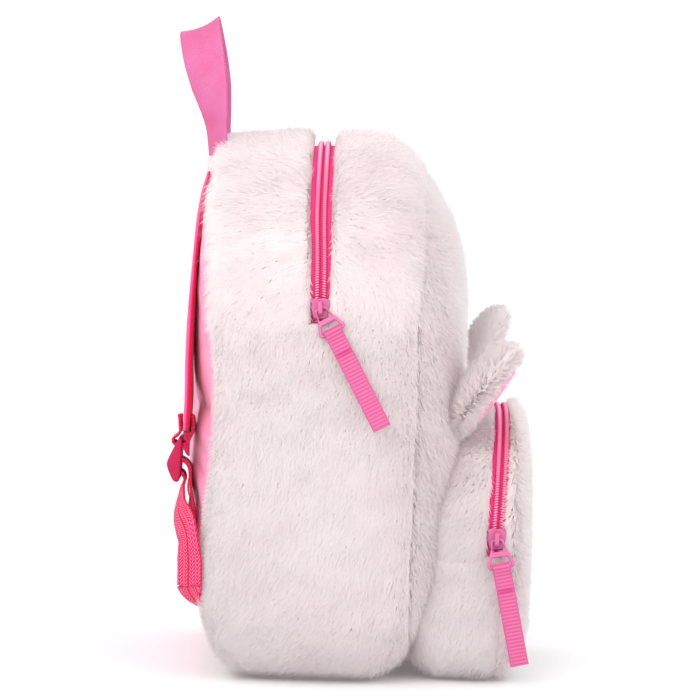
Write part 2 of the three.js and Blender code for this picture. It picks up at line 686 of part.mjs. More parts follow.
// The slider, in its own frame: x across the zip, y up along it, z out of the bag. z = 0 is the chain's base.
function sliderSolid() {
  const inside = ZIP.chainHalf + 1.6 * CLEAR;
  const half = inside + SLIDER.skirt;
  const top = ZIP.chainHeight + 2.4 * CLEAR;
  const long = SLIDER.length / 2;
  const waist = polygonShape([
    [-half, long],
    [half, long],
    [half, -long * 0.1],
    [half * 0.72, -long],
    [-half * 0.72, -long],
    [-half, -long * 0.1],
  ]);
  const cover = plate(waist, top, top + SLIDER.plate);
  const skirt = plate(waist, CLEAR, top + 0.1).subtract(block(-inside, inside, -2 * long, 2 * long, -1, top));
  const crownShape = polygonShape([
    [-long * 0.8, 0],
    [-long * 0.55, 0],
    [-long * 0.45, SLIDER.crownGap],
    [long * 0.45, SLIDER.crownGap],
    [long * 0.55, 0],
    [long * 0.8, 0],
    [long * 0.62, SLIDER.crownGap + SLIDER.crownBar],
    [-long * 0.62, SLIDER.crownGap + SLIDER.crownBar],
  ]);
  const crown = solidFromGeometry(
    new THREE.ExtrudeGeometry(crownShape, { depth: 2 * SLIDER.crownHalf, bevelEnabled: false })
      .translate(0, 0, -SLIDER.crownHalf)
      .rotateZ(Math.PI / 2)
      .rotateY(Math.PI / 2)
      .translate(0, 0, top + SLIDER.plate - 0.05),
  );
  return cover.add(skirt).add(crown);
}

// The pull, in its own frame: it hangs along -y from the bar under the crown, which is at y = 0; z is outwards
function pullSolid() {
  const rim = PULL.rim;
  const outline = polygonShape([
    [-PULL.topHalf, rim / 2],
    [PULL.topHalf, rim / 2],
    [PULL.topHalf + 0.4, -4],
    [PULL.lowHalf, -PULL.length + 2],
    [PULL.lowHalf - 1, -PULL.length],
    [-PULL.lowHalf + 1, -PULL.length],
    [-PULL.lowHalf, -PULL.length + 2],
    [-PULL.topHalf - 0.4, -4],
  ]);
  const eye = [
    [-PULL.topHalf + rim * 0.75, -rim / 2],
    [PULL.topHalf - rim * 0.75, -rim / 2],
    [PULL.topHalf + 0.2, -6.4],
    [-PULL.topHalf - 0.2, -6.4],
  ];
  const window = [
    [-PULL.topHalf - 0.9, -9.6],
    [PULL.topHalf + 0.9, -9.6],
    [PULL.lowHalf - rim - 0.6, -PULL.length + rim],
    [-PULL.lowHalf + rim + 0.6, -PULL.length + rim],
  ];
  for (const hole of [eye, window]) outline.holes.push(new THREE.Path(hole.map(([x, y]) => new THREE.Vector2(x, y))));
  return plate(outline, -PULL.thickness / 2, PULL.thickness / 2);
}

// A doubled ribbon round a bar, in the frame of the bar: the bar runs along x at the origin, the ribbon hangs along -y.
// sway bends it out (z) towards its end.
function hairpin({ width, layer, barHalf, length, sway }) {
  const inner = barHalf + CLEAR;
  const outer = inner + layer;
  const neck = -outer - 2.5;
  const steps = range(0, 1, 8);
  const line = (side) =>
    steps.map((t) => {
      const y = neck + (-length - neck) * t;
      return new THREE.Vector2(side * layer + sway * t * t, y);
    });
  const arc = (radius, from, to) =>
    range(from, to, 8).map((a) => new THREE.Vector2(radius * Math.cos(a), radius * Math.sin(a)));
  const outline = polygonShape([...arc(outer, 0, Math.PI), ...line(-1), ...line(1).reverse()].map((p) => [p.x, p.y]));
  outline.holes.push(
    new THREE.Path([...arc(inner, 0, Math.PI), new THREE.Vector2(-inner, -inner), new THREE.Vector2(0, neck + 1.2), new THREE.Vector2(inner, -inner)]),
  );
  const geometry = new THREE.ExtrudeGeometry(outline, { depth: width, bevelEnabled: false });
  return solidFromGeometry(geometry.translate(0, 0, -width / 2).rotateY(-Math.PI / 2));
}

// A frame on a surface: x across the zip towards the front of the bag, y up along the zip, z out of the bag
function zipFrame(surface, centre, loop, depth, lift) {
  const z = normalAt(surface, loop, depth, centre);
  const y = surface(loop + 0.01, depth).sub(surface(loop - 0.01, depth)).normalize();
  const x = y.clone().cross(z).normalize();
  y.crossVectors(z, x);
  const at = surface(loop, depth).addScaledVector(z, lift);
  return new THREE.Matrix4().makeBasis(x, y, z).setPosition(at);
}

const placed = (solid, matrix) => solid.transform(matrix.toArray());
const turn = (x, y, z) => new THREE.Matrix4().makeRotationFromEuler(new THREE.Euler(x, y, z, "ZYX"));
const shift = (x, y, z) => new THREE.Matrix4().makeTranslation(x, y, z);
const degrees = Math.PI / 180;

// Slider, pull and ribbon at the left end of a zip. swing turns the pull in the bag's side, tilt lifts it off the fur,
// and hang turns the ribbon on from the pull.
function zipEnd({ surface, centre, loop, depth, wall, swing, tilt, hang, drop, ribbonLength, sway }) {
  const frame = zipFrame(surface, centre, loop, depth, -wall);
  const slider = placed(sliderSolid(), frame);
  const barHeight = ZIP.chainHeight + 2.4 * CLEAR + SLIDER.plate + SLIDER.crownGap / 2;
  const bar = frame
    .clone()
    .multiply(shift(0, -0.6, barHeight))
    .multiply(turn(0, 0, swing * degrees))
    .multiply(turn(-tilt * degrees, 0, 0));
  const pull = placed(pullSolid(), bar);
  const low = bar
    .clone()
    .multiply(shift(0, -PULL.length + PULL.rim / 2, 0))
    .multiply(turn(drop * degrees, 0, 0))
    .multiply(turn(0, 0, hang * degrees));
  const ribbon = placed(
    hairpin({ width: RIBBON.width, layer: RIBBON.layer, barHalf: 1.15, length: ribbonLength, sway }),
    low,
  );
  return { slider, pull, ribbon };
}

const mainEnd = zipEnd({
  surface: bodySurface,
  centre: BODY_CENTRE,
  loop: bodyZipLeft + (SLIDER.length / 2 + 1) / 190,
  depth: BODY_ZIP_DEPTH,
  wall: FUR_WALL,
  swing: 28,
  tilt: 17,
  hang: -1,
  drop: 17,
  ribbonLength: MAIN_RIBBON_LENGTH,
  sway: 0,
});
const pocketEnd = zipEnd({
  surface: pocketSurface,
  centre: POCKET_CENTRE,
  loop: pocketZipLeft + (SLIDER.length / 2 + 1) / 110,
  depth: pocketZipDepth(pocketZipLeft),
  wall: POCKET_WALL,
  swing: 12,
  tilt: 17,
  hang: 1.5,
  drop: 17,
  ribbonLength: POCKET_RIBBON_LENGTH,
  sway: 0,
});

// Carry handle: a webbing arch whose ends are sewn into the top of the back seam
const seamTop = (x) => {
  const row = BODY_SECTIONS[1];
  const share = Math.abs(x) / ((BODY.width / 2) * row.width);
  const arch = (1 - share ** BODY.archPower) ** (1 / BODY.archPower);
  const shoulder = BODY.shoulderHeight / BODY.height;
  return BODY.height * (row.low + (shoulder + (1 - shoulder) * arch) * (row.high - row.low));
};
const handleBase = seamTop(HANDLE.halfSpan);
const handleY = backAt(handleBase) - 2;
const stop = (x, y, z, wide, width = WEBBING.width, thick = WEBBING.thickness) => ({
  at: new THREE.Vector3(x, y, z),
  wide: new THREE.Vector3(...wide),
  width,
  thick,
});
const between = (a, b, t) => a.map((v, i) => v + (b[i] - v) * t);
const foot = (side) => [-side * Math.cos(HANDLE.baseTurn * degrees), Math.sin(HANDLE.baseTurn * degrees), 0];
const crest = [0, Math.cos(HANDLE.topTilt * degrees), -Math.sin(HANDLE.topTilt * degrees)];
const HANDLE_LINE = [
  { out: 1, up: -0.12, back: -0.05, twist: 0 },
  { out: 1.02, up: 0.12, back: 0.08, twist: 0.05 },
  { out: 1.16, up: 0.45, back: 0.42, twist: 0.4 },
  { out: 1.12, up: 0.74, back: 0.75, twist: 0.78 },
  { out: 0.66, up: 0.95, back: 0.97, twist: 0.95 },
];
const handleLeg = (side) =>
  HANDLE_LINE.map(({ out, up, back, twist }) =>
    stop(
      side * out * HANDLE.halfSpan,
      handleY + back * HANDLE.lean,
      handleBase + up * HANDLE.rise,
      between(foot(side), crest, twist),
      HANDLE.width,
      HANDLE.thickness,
    ),
  );
const handleStops = [
  ...handleLeg(-1),
  stop(0, handleY + HANDLE.lean, handleBase + HANDLE.rise, crest, HANDLE.width, HANDLE.thickness),
  ...handleLeg(1).reverse(),
];
const handle = cutBy(strip(handleStops, 30), bodyShell);

// Shoulder straps: a padded part from the top seam, a buckle on its end, and webbing down to a tab in the side seam.
// across and up are shares of half the body's width and of its height. off, how far the strap's inner face stands
// off the back panel, and thick are shares of its thickness, and slant turns its width along the arch.
const STRAP_PATH = [
  { across: 0.313, up: 0.903, off: 0.095, thick: 0.524, slant: -0.4 },
  { across: 0.33, up: 0.873, off: 0.095, thick: 0.762, slant: -0.3 },
  { across: 0.383, up: 0.8, off: 0.095, thick: 0.881, slant: 0.1 },
  { across: 0.47, up: 0.7, off: 0.119, thick: 0.881, slant: 0.3 },
  { across: 0.574, up: 0.58, off: 0.381, thick: 0.952, slant: 0.28 },
  { across: 0.639, up: 0.493, off: 0.714, thick: 1, slant: 0.08 },
  { across: 0.657, up: 0.443, off: 0.81, thick: 1, slant: 0.02 },
].map(({ across, up, off, thick, slant }) => ({
  x: (across * BODY.width) / 2,
  z: up * BODY.height,
  off: off * STRAP.thickness,
  thick: thick * STRAP.thickness,
  slant,
}));
const strapWidth = (i) => THREE.MathUtils.lerp(STRAP.topWidth, STRAP.endWidth, i / (STRAP_PATH.length - 1));
const strapBack = (i) => {
  const { x, z, off } = STRAP_PATH[i];
  const half = strapWidth(i) / 2;
  return Math.max(...[-half, -half / 2, 0].map((aside) => panelAt(x + aside, z))) + off;
};
const strapPad = (side) =>
  strip(
    STRAP_PATH.map((s, i) =>
      stop(side * s.x, strapBack(i) + s.thick / 2, s.z, [1, 0, side * s.slant], strapWidth(i), s.thick),
    ),
    18,
    PADDED_SECTION,
  );
const PAD_END = STRAP_PATH[STRAP_PATH.length - 1];
const padOuter = strapBack(STRAP_PATH.length - 1) + PAD_END.thick;
const padInner = strapBack(STRAP_PATH.length - 1);

// The buckle: its side profile, out from its inner face and down from its top in shares of its depth and length,
// pierced by three slots
const BUCKLE_PROFILE = [
  { out: 0, down: 0 },
  { out: 0.244, down: 0 },
  { out: 0.463, down: 0.163 },
  { out: 0.78, down: 0.392 },
  { out: 1, down: 0.567 },
  { out: 0.878, down: 0.725 },
  { out: 0.561, down: 0.958 },
  { out: 0.341, down: 1 },
  { out: 0.098, down: 0.975 },
  { out: 0.049, down: 0.683 },
  { out: 0.024, down: 0.35 },
];
const buckleAt = new THREE.Vector3(PAD_END.x + 0.8, padOuter + BUCKLE.out, PAD_END.z - BUCKLE.down);
function buckle(side) {
  const profile = polygonShape(
    BUCKLE_PROFILE.map(({ out, down }) => [BUCKLE.inner + out * BUCKLE.depth, BUCKLE.top - down * BUCKLE.length]),
  );
  const geometry = new THREE.ExtrudeGeometry(profile, { depth: BUCKLE.width, bevelEnabled: false })
    .translate(0, 0, -BUCKLE.width / 2)
    .rotateY(Math.PI / 2)
    .rotateX(Math.PI / 2);
  const half = WEBBING.width / 2 + 0.8;
  const slot = (z) => block(-half, half, -20, 20, z - BUCKLE.slotHalf, z + BUCKLE.slotHalf);
  return solidFromGeometry(geometry)
    .subtract(slot(BUCKLE.topSlot))
    .subtract(slot(BUCKLE.middleSlot))
    .subtract(slot(BUCKLE.lowSlot))
    .subtract(block(-half, half, BUCKLE.barFace, 20, BUCKLE.lowSlot, BUCKLE.middleSlot))
    .translate([side * buckleAt.x, buckleAt.y, buckleAt.z]);
}

const FLAT = [1, 0, 0];
const strapCorner = (side) => [0.84, -side * 0.54, 0];
const tabAt = new THREE.Vector3(
  (STRAP_TAB.across * BODY.width) / 2,
  BODY.backY + STRAP_TAB.behind,
  STRAP_TAB.up * BODY.height,
);

// Webbing routes, a row for each bend. Each row's offsets across, outwards and upwards from a named place are
// in thicknesses of the webbing, and so is its own thickness.
const LOOP_ROUTE = [
  { from: "front", across: -0.625, out: 0.25, up: 5.9375, thick: 1.375, turn: 0 },
  { from: "front", across: -0.5, out: 0.125, up: 3.75, thick: 1, turn: 0 },
  { from: "front", across: 0, out: 0.1875, up: 0, thick: 1, turn: 0 },
  { from: "slot", across: 0, out: 2.25, up: 1.625, thick: 1, turn: 0 },
  { from: "slot", across: 0, out: 0.375, up: 0, thick: 1, turn: 0 },
  { from: "slot", across: 0, out: -2.125, up: 0.75, thick: 1, turn: 0 },
  { from: "back", across: 0, out: -0.3125, up: 0.625, thick: 1, turn: 0 },
  { from: "back", across: -0.75, out: -0.0625, up: 5.625, thick: 1, turn: 0 },
];
const WEBBING_ROUTE = [
  { from: "tab", across: 0, out: 0, up: 1.0625, thick: 1, turn: 1 },
  { from: "lowRise", across: 0, out: 0, up: 0, thick: 1, turn: 1 },
  { from: "highRise", across: -1.625, out: 0.9375, up: 0, thick: 1, turn: 0.7 },
  { from: "under", across: 5, out: -0.75, up: 0, thick: 1, turn: 0.4 },
  { from: "buckle", across: 0.9375, out: -1.125, up: -10, thick: 1, turn: 0.1 },
  { from: "buckle", across: 0, out: -2, up: -6.25, thick: 1, turn: 0 },
  { from: "lowSlot", across: 0, out: -1, up: -0.3125, thick: 1, turn: 0 },
  { from: "lowFace", across: 0, out: -0.375, up: 0.0625, thick: 1, turn: 0 },
  { from: "face", across: 0, out: 0, up: 0, thick: 1, turn: 0 },
  { from: "middleFace", across: 0, out: -0.375, up: -0.0625, thick: 1, turn: 0 },
  { from: "middleSlot", across: 0, out: -0.875, up: 0.25, thick: 1, turn: 0 },
  { from: "middleSlot", across: 0, out: -3.375, up: -1.875, thick: 1, turn: 0 },
  { from: "buckle", across: 0.3125, out: -4, up: -7.5, thick: 1, turn: 0 },
  { from: "buckle", across: 1.875, out: -4.375, up: -15, thick: 1, turn: 0.2 },
  { from: "buckle", across: 4.375, out: -4, up: -20.625, thick: 1.375, turn: 0.4 },
  { from: "buckle", across: 5.625, out: -3.9375, up: -24.375, thick: 2.5, turn: 0.5 },
];
const TAB_ROUTE = [
  { across: 0, out: 0, up: 0, width: 1, thick: 1.625 },
  { across: -0.375, out: -1.1875, up: -2.375, width: 0.85, thick: 1.875 },
  { across: -0.625, out: -2.9375, up: -4.875, width: 0.6, thick: 1.375 },
];

function routeStops(route, anchors, side) {
  const t = WEBBING.thickness;
  return route.map(({ from, across, out, up, thick, turn }) => {
    const [x, y, z] = anchors[from];
    const wide = between(FLAT, strapCorner(side), turn);
    return stop(side * (x + across * t), y + out * t, z + up * t, wide, WEBBING.width, thick * t);
  });
}

// A short webbing loop over both faces of the pad's end, through the buckle's top slot
function buckleLoop(side) {
  const t = WEBBING.thickness;
  const out = padOuter + CLEAR + t / 2;
  const low = padInner - CLEAR - t / 2;
  const anchors = {
    front: [PAD_END.x, out, PAD_END.z],
    slot: [buckleAt.x, buckleAt.y, buckleAt.z + BUCKLE.topSlot],
    back: [PAD_END.x, low, PAD_END.z],
  };
  return strip(routeStops(LOOP_ROUTE, anchors, side), 22);
}

// The adjusting webbing: up from the tab, round the buckle's bar, and down again to a hemmed end
function strapWebbing(side) {
  const { x, y, z } = buckleAt;
  const face = y + BUCKLE.barFace + CLEAR + WEBBING.thickness / 2;
  const rise = z - BUCKLE.length - 3 - tabAt.z;
  const anchors = {
    tab: [tabAt.x, tabAt.y, tabAt.z],
    lowRise: [tabAt.x, tabAt.y, tabAt.z + 0.38 * rise],
    highRise: [tabAt.x, tabAt.y, tabAt.z + 0.72 * rise],
    under: [x, y, tabAt.z + rise],
    buckle: [x, y, z],
    lowSlot: [x, y, z + BUCKLE.lowSlot],
    middleSlot: [x, y, z + BUCKLE.middleSlot],
    lowFace: [x, face, z + BUCKLE.lowSlot],
    face: [x, face, z + (BUCKLE.lowSlot + BUCKLE.middleSlot) / 2],
    middleFace: [x, face, z + BUCKLE.middleSlot],
  };
  return strip(routeStops(WEBBING_ROUTE, anchors, side), 42);
}

// The folded tab that holds the webbing's lower end in the side seam
function strapTab(side) {
  const t = WEBBING.thickness;
  const stops = TAB_ROUTE.map(({ across, out, up, width, thick }) =>
    stop(
      side * (tabAt.x + across * t),
      tabAt.y + out * t,
      tabAt.z + up * t,
      strapCorner(side),
      WEBBING.width * width,
      thick * t,
    ),
  );
  return cutBy(strip(stops, 5), bodyShell);
}

// Ears: fur lobes on the pocket's top seam with a smooth pad on their inner faces
function earFrame({ side, forward, splay, turn: faceTurn }) {
  const f = forward * degrees;
  const s = splay * degrees;
  const t = faceTurn * degrees;
  const along = new THREE.Vector3(side * Math.sin(s), -Math.sin(f) * Math.cos(s), Math.cos(f) * Math.cos(s));
  const face = new THREE.Vector3(side * Math.sin(t), -Math.cos(t), 0);
  face.addScaledVector(along, -face.dot(along)).normalize();
  const wide = along.clone().cross(face);
  const base = new THREE.Vector3(
    (side * EAR_SEAT.across * POCKET.width) / 2,
    bodyFrontY + EAR_SEAT.behind,
    POCKET.height - EAR_SEAT.below,
  );
  return (x, out, up) =>
    base.clone().addScaledVector(wide, x).addScaledVector(face, out).addScaledVector(along, up);
}
const earFront = (share, at) => {
  const thick = EAR.thick * column(EAR_SECTIONS, "along", "thick", at);
  return EAR.front * thick * Math.sqrt(Math.max(0, 1 - share * share));
};
function earSolid(ear) {
  const put = earFrame(ear);
  const circle = range(0, 2 * Math.PI, 16).slice(1);
  const ring = circle.map((a) => new THREE.Vector2(Math.cos(a), Math.sin(a)));
  const places = EAR_SECTIONS.map(({ along, width, thick }) => (q) => {
    const depth = q.y > 0 ? EAR.front : 1 - EAR.front;
    return put((q.x * EAR.width * width) / 2, q.y * depth * EAR.thick * thick, along * EAR.length);
  });
  return cutBy(loft(ring, places), frontShell, pocketShell);
}
function earInner(ear) {
  const put = earFrame(ear);
  const across = [-1, -0.5, 0, 0.5, 1];
  const section = [...across.map((x) => new THREE.Vector2(x, 0)), ...across.map((x) => new THREE.Vector2(-x, 1))];
  const rows = [0.2, 0.28, 0.4, 0.52, 0.64, 0.75, 0.83];
  const places = rows.map((at) => (q) => {
    const half = (EAR.innerWidth / 2) * column(EAR_SECTIONS, "along", "inner", at);
    const x = q.x * half;
    const share = x / ((EAR.width / 2) * column(EAR_SECTIONS, "along", "width", at));
    const thin = 1 - 0.35 * q.x * q.x;
    return put(x, earFront(share, at) + 2.2 * CLEAR + q.y * EAR.innerThickness * thin, at * EAR.length);
  });
  return loft(section, places);
}

add("front_panel", frontPanel, FUR);
add("back_panel", backPanel, SATIN);
add("gusset_top_rear", gussetTopRear, FUR);
add("gusset_top_front", gussetTopFront, FUR);
add("gusset_lower", gussetLower, FUR);
add("main_zip_tape", mainZip.tape, PINK_ZIP);
add("main_zip_chain", mainZip.chain, PINK_ZIP);
add("main_zip_slider", mainEnd.slider, PINK_SLIDER);
add("main_zip_pull", mainEnd.pull, PINK_SLIDER);
add("main_zip_ribbon", mainEnd.ribbon, PINK_WEBBING);
add("pocket_gusset_top", pocketGussetTop, FUR);
add("pocket_gusset_lower", pocketGussetLower, FUR);
add("pocket_front", pocketFront, FUR);
add("pocket_zip_tape", pocketZip.tape, PINK_ZIP);
add("pocket_zip_chain", pocketZip.chain, PINK_ZIP);
add("pocket_zip_slider", pocketEnd.slider, PINK_SLIDER);
add("pocket_zip_pull", pocketEnd.pull, PINK_SLIDER);
add("pocket_zip_ribbon", pocketEnd.ribbon, PINK_WEBBING);
add("handle", handle, PINK_WEBBING);
for (const ear of EARS) {
  add("ear_" + ear.name, earSolid(ear), FUR);
  add("ear_inner_" + ear.name, earInner(ear), SATIN);
}
for (const { name, side } of EARS) {
  add("strap_pad_" + name, strapPad(side), PINK_PAD);
  add("strap_loop_" + name, buckleLoop(side), PINK_WEBBING);
  add("strap_buckle_" + name, buckle(side), PINK_PLASTIC);
  add("strap_webbing_" + name, strapWebbing(side), PINK_WEBBING);
  add("strap_tab_" + name, strapTab(side), PINK_WEBBING);
}

export default group;
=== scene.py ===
import math

import bpy
import numpy as np
from mathutils import Matrix, Vector
from mathutils.kdtree import KDTree


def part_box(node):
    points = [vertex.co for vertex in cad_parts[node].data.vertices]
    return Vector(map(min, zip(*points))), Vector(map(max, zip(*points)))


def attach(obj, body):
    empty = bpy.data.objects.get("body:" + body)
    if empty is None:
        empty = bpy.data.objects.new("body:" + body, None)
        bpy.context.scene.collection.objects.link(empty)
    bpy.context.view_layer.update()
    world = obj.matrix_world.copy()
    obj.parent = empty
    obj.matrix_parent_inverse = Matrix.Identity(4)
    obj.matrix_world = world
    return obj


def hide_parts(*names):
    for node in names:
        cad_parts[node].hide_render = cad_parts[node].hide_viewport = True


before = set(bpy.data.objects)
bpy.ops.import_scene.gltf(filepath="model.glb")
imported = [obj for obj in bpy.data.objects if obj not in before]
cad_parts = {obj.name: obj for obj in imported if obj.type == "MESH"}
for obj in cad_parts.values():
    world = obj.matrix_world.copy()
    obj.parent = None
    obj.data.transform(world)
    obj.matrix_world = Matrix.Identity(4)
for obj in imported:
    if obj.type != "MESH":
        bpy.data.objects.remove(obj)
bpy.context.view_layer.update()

MM = 0.001
CLEAR = 0.3


def node_box(name):
    low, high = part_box(name)
    return np.array(low) / MM, np.array(high) / MM


def tuple_rows(names, rows):
    keys = names.split()
    return {key: np.array([row[k] for row in rows], float) for k, key in enumerate(keys)}


# Driving sizes, read off the frame where one of its boxes gives them
LOWER_LOW, LOWER_HIGH = node_box("gusset_lower")
BODY_WIDTH = LOWER_HIGH[0] - LOWER_LOW[0]
BODY = {"width": BODY_WIDTH, "height": 300.0, "corner": 40.0, "shoulder": 150.0, "power": 2.35}
BODY_DEPTH = 143.5
BACK_Y = 78.0
FRONT_Y = BACK_Y - BODY_DEPTH
POCKET = {"width": 176.0, "height": 152.0, "corner": 28.0, "shoulder": 70.0, "power": 2.3}
POCKET_FRONT_Y = -103.5
POCKET_TUCK = 2.0
WALL = 8.5
POCKET_WALL = 6.0
PANEL = {"bulge": 86.3, "power": 2.0, "inset": 0.957}
ZIP = {"slot": 5.8, "tape": 8.6, "chain": 3.4, "height": 2.5}
ZIP_DEPTH = 0.422
ZIP_END_Z = 197.0
FRONT_SEAM = 0.815
POCKET_ZIP_LOW, POCKET_ZIP_TOP = -81.5, -86.5
POCKET_ZIP_END_Z = 70.0

BACK_LINE = tuple_rows("height back", [
    (0, -0.095), (0.05, -0.055), (0.1, -0.022), (0.16, 0), (0.22, 0.002), (0.33, -0.0174),
    (0.5, -0.035), (0.62, -0.0174), (0.75, -0.0035), (0.87, 0.01), (1, 0.007),
])
BODY_SECTIONS = tuple_rows("depth width low high", [
    (0, 0.905, 0.05, 0.955), (0.03, 0.955, 0.02, 0.975), (0.08, 0.985, 0.004, 0.985), (0.17, 1, 0, 0.989),
    (0.31, 1, 0, 0.995), (0.45, 1, 0, 0.998), (0.55, 1, 0, 1), (0.64, 0.99, 0.004, 0.998),
    (0.735, 0.95, 0.024, 0.977), (0.78, 0.915, 0.042, 0.956), (0.83, 0.855, 0.075, 0.918),
    (0.88, 0.765, 0.12, 0.88), (0.935, 0.655, 0.175, 0.826), (0.965, 0.56, 0.22, 0.78),
    (0.985, 0.42, 0.29, 0.71), (1, 0, 0.5, 0.5),
])
POCKET_SECTIONS = tuple_rows("depth width low high", [
    (0, 0.955, 0.095, 0.94), (0.12, 0.985, 0.03, 0.965), (0.3, 1, 0, 0.985), (0.5, 1, 0, 1), (0.66, 1, 0, 1),
    (0.8, 0.985, 0.015, 0.988), (0.88, 0.94, 0.045, 0.95), (0.945, 0.84, 0.11, 0.875),
    (0.98, 0.64, 0.21, 0.76), (1, 0, 0.5, 0.5),
])
CREASES = tuple_rows("side depth0 height0 depth1 height1 drop reach", [
    (-1, 0.37, 0.42, 0.72, 0.13, 0.3, 0.06),
    (-1, 0.1, 0.83, 0.32, 0.8, 0.2, 0.06),
    (1, 0.4, 0.45, 0.68, 0.2, 0.3, 0.06),
])
CREASE_SIDE = {"from": 0.34, "over": 0.1}  # how far out they start, as a share of the body's width
CREASE_ENDS = {"rear": 0.06, "front": 0.76, "over": 0.08}  # the depths where they fade away


# Vectors and smooth fields
def unit(v):
    return v / np.maximum(np.linalg.norm(v, axis=-1, keepdims=True), 1e-9)


def dot(a, b):
    return np.sum(a * b, axis=-1, keepdims=True)


def smooth(t):
    t = np.clip(t, 0, 1)
    return t * t * (3 - 2 * t)


def drift(points, scale, seed, waves=6):
    """A smooth vector field with features of about this size, in millimetres."""
    rng = np.random.default_rng(seed)
    total = np.zeros(points.shape)
    for _ in range(waves):
        push = rng.normal(size=3)
        wave = rng.normal(size=3) * 2 / scale
        total += push * np.sin(points @ wave + rng.uniform(0, 2 * math.pi))[..., None]
    return total / math.sqrt(waves)


def column(rows, key, name, at):
    """Smooth interpolation of one column of a table, without overshoot."""
    x, y = rows[key], rows[name]
    at = np.clip(at, x[0], x[-1])
    slope = np.diff(y) / np.diff(x)
    product = slope[:-1] * slope[1:]
    total = np.where(product > 0, slope[:-1] + slope[1:], 1)
    knot = np.concatenate(([slope[0]], np.where(product > 0, 2 * product / total, 0), [slope[-1]]))
    i = np.clip(np.searchsorted(x, at, side="right") - 1, 0, len(x) - 2)
    span = x[i + 1] - x[i]
    t = (at - x[i]) / span
    h = 1 - t
    return (
        y[i] * h * h * (1 + 2 * t)
        + knot[i] * span * t * h * h
        + y[i + 1] * t * t * (3 - 2 * t)
        - knot[i + 1] * span * t * t * h
    )


# The body and pocket: an arched outline, swept from back to front
def outline(size, loop):
    """Loop 0 is the bottom middle, 4 the top middle and 8 the bottom again, up the left side first."""
    loop = np.mod(loop, 8)
    at = np.where(loop <= 4, loop, 8 - loop)
    half, radius = size["width"] / 2, size["corner"]
    flat = half - radius
    arch = size["height"] - size["shoulder"]
    span = np.minimum(3, np.floor(at))
    t = at - span
    turn = t * math.pi / 2
    bend = 2 / size["power"]
    cases = [span == 0, span == 1, span == 2]
    x = np.select(
        cases,
        [flat * t, flat + radius * np.sin(turn), half + 0 * t],
        half * np.maximum(0, np.cos(turn)) ** bend,
    )
    z = np.select(
        cases,
        [0 * t, radius * (1 - np.cos(turn)), radius + t * (size["shoulder"] - radius)],
        size["shoulder"] + arch * np.sin(turn) ** bend,
    )
    return np.where(loop <= 4, -x, x) / half, z / size["height"]


def arch_half(size, up):
    """Half the width of that outline at a height, both as shares, and -1 above and below it."""
    height = up * size["height"]
    half, radius = size["width"] / 2, size["corner"]
    corner = np.sqrt(np.maximum(0, radius**2 - (radius - height) ** 2))
    share = np.clip((height - size["shoulder"]) / (size["height"] - size["shoulder"]), 0, 1)
    arch = (1 - share ** size["power"]) ** (1 / size["power"])
    wide = np.where(height < radius, (half - radius + corner) / half, arch)
    return np.where((height < 0) | (height > size["height"]), -1, wide)


def loop_at_height(size, height):
    share = (height - size["shoulder"]) / (size["height"] - size["shoulder"])
    return 3 + math.asin(share ** (size["power"] / 2)) / (math.pi / 2)


def back_at(height):
    return BACK_Y + BODY_DEPTH * column(BACK_LINE, "height", "back", height / BODY["height"])


def crease_drop(x, depth, height):
    total = np.zeros(np.shape(x))
    for k in range(len(CREASES["side"])):
        c = {name: values[k] for name, values in CREASES.items()}
        du, dv = c["depth1"] - c["depth0"], c["height1"] - c["height0"]
        s = np.clip(((depth - c["depth0"]) * du + (height - c["height0"]) * dv) / (du**2 + dv**2), 0, 1)
        far = np.hypot(depth - c["depth0"] - s * du, height - c["height0"] - s * dv) / c["reach"]
        here = (np.sign(x) == c["side"]) * smooth(
            (np.abs(x) / BODY["width"] - CREASE_SIDE["from"]) / CREASE_SIDE["over"])
        total += here * c["drop"] * WALL * np.exp(-far * far)
    ends = np.minimum(depth / CREASE_ENDS["rear"], (CREASE_ENDS["front"] - depth) / CREASE_ENDS["over"])
    return total * np.clip(ends, 0, 1)


def section_at(rows, depth):
    """How low, high and wide a section is, as shares of the whole outline."""
    return (column(rows, "depth", name, depth) for name in ("low", "high", "width"))


def body_point(loop, depth):
    across, up = outline(BODY, loop)
    low, high, width = section_at(BODY_SECTIONS, depth)
    height = low + up * (high - low)
    x = across * BODY["width"] * width / 2
    y = back_at(height * BODY["height"]) * (1 - depth) + FRONT_Y * depth
    return np.stack([x - np.sign(x) * crease_drop(x, depth, height), y, height * BODY["height"]], -1)


def body_front_at(x, z):
    """The y of the body's front surface over a point of the front view."""
    near, far = np.full(np.shape(x), 0.55), np.ones(np.shape(x))
    for _ in range(26):
        depth = (near + far) / 2
        low, high, width = section_at(BODY_SECTIONS, depth)
        half = arch_half(BODY, (z / BODY["height"] - low) / np.maximum(1e-6, high - low))
        inside = (half >= 0) & (np.abs(x) < half * width * BODY["width"] / 2)
        near, far = np.where(inside, depth, near), np.where(inside, far, depth)
    return back_at(z) * (1 - near) + FRONT_Y * near


def pocket_seam(loop):
    across, up = outline(POCKET, loop)
    width, low, high = (POCKET_SECTIONS[name][0] for name in ("width", "low", "high"))
    x = across * POCKET["width"] * width / 2
    z = POCKET["height"] * (low + up * (high - low))
    return body_front_at(x, z) + POCKET_TUCK


def pocket_point(loop, depth):
    across, up = outline(POCKET, loop)
    low, high, width = section_at(POCKET_SECTIONS, depth)
    x = across * POCKET["width"] * width / 2
    y = pocket_seam(loop) * (1 - depth) + POCKET_FRONT_Y * depth
    return np.stack([x, y, POCKET["height"] * (low + up * (high - low))], -1)


def pocket_zip_depth(loop):
    up = outline(POCKET, loop)[1]
    y = POCKET_ZIP_LOW + (POCKET_ZIP_TOP - POCKET_ZIP_LOW) * np.maximum(0, (up - 0.3) / 0.7)
    seam = pocket_seam(loop)
    return (seam - y) / (seam - POCKET_FRONT_Y)


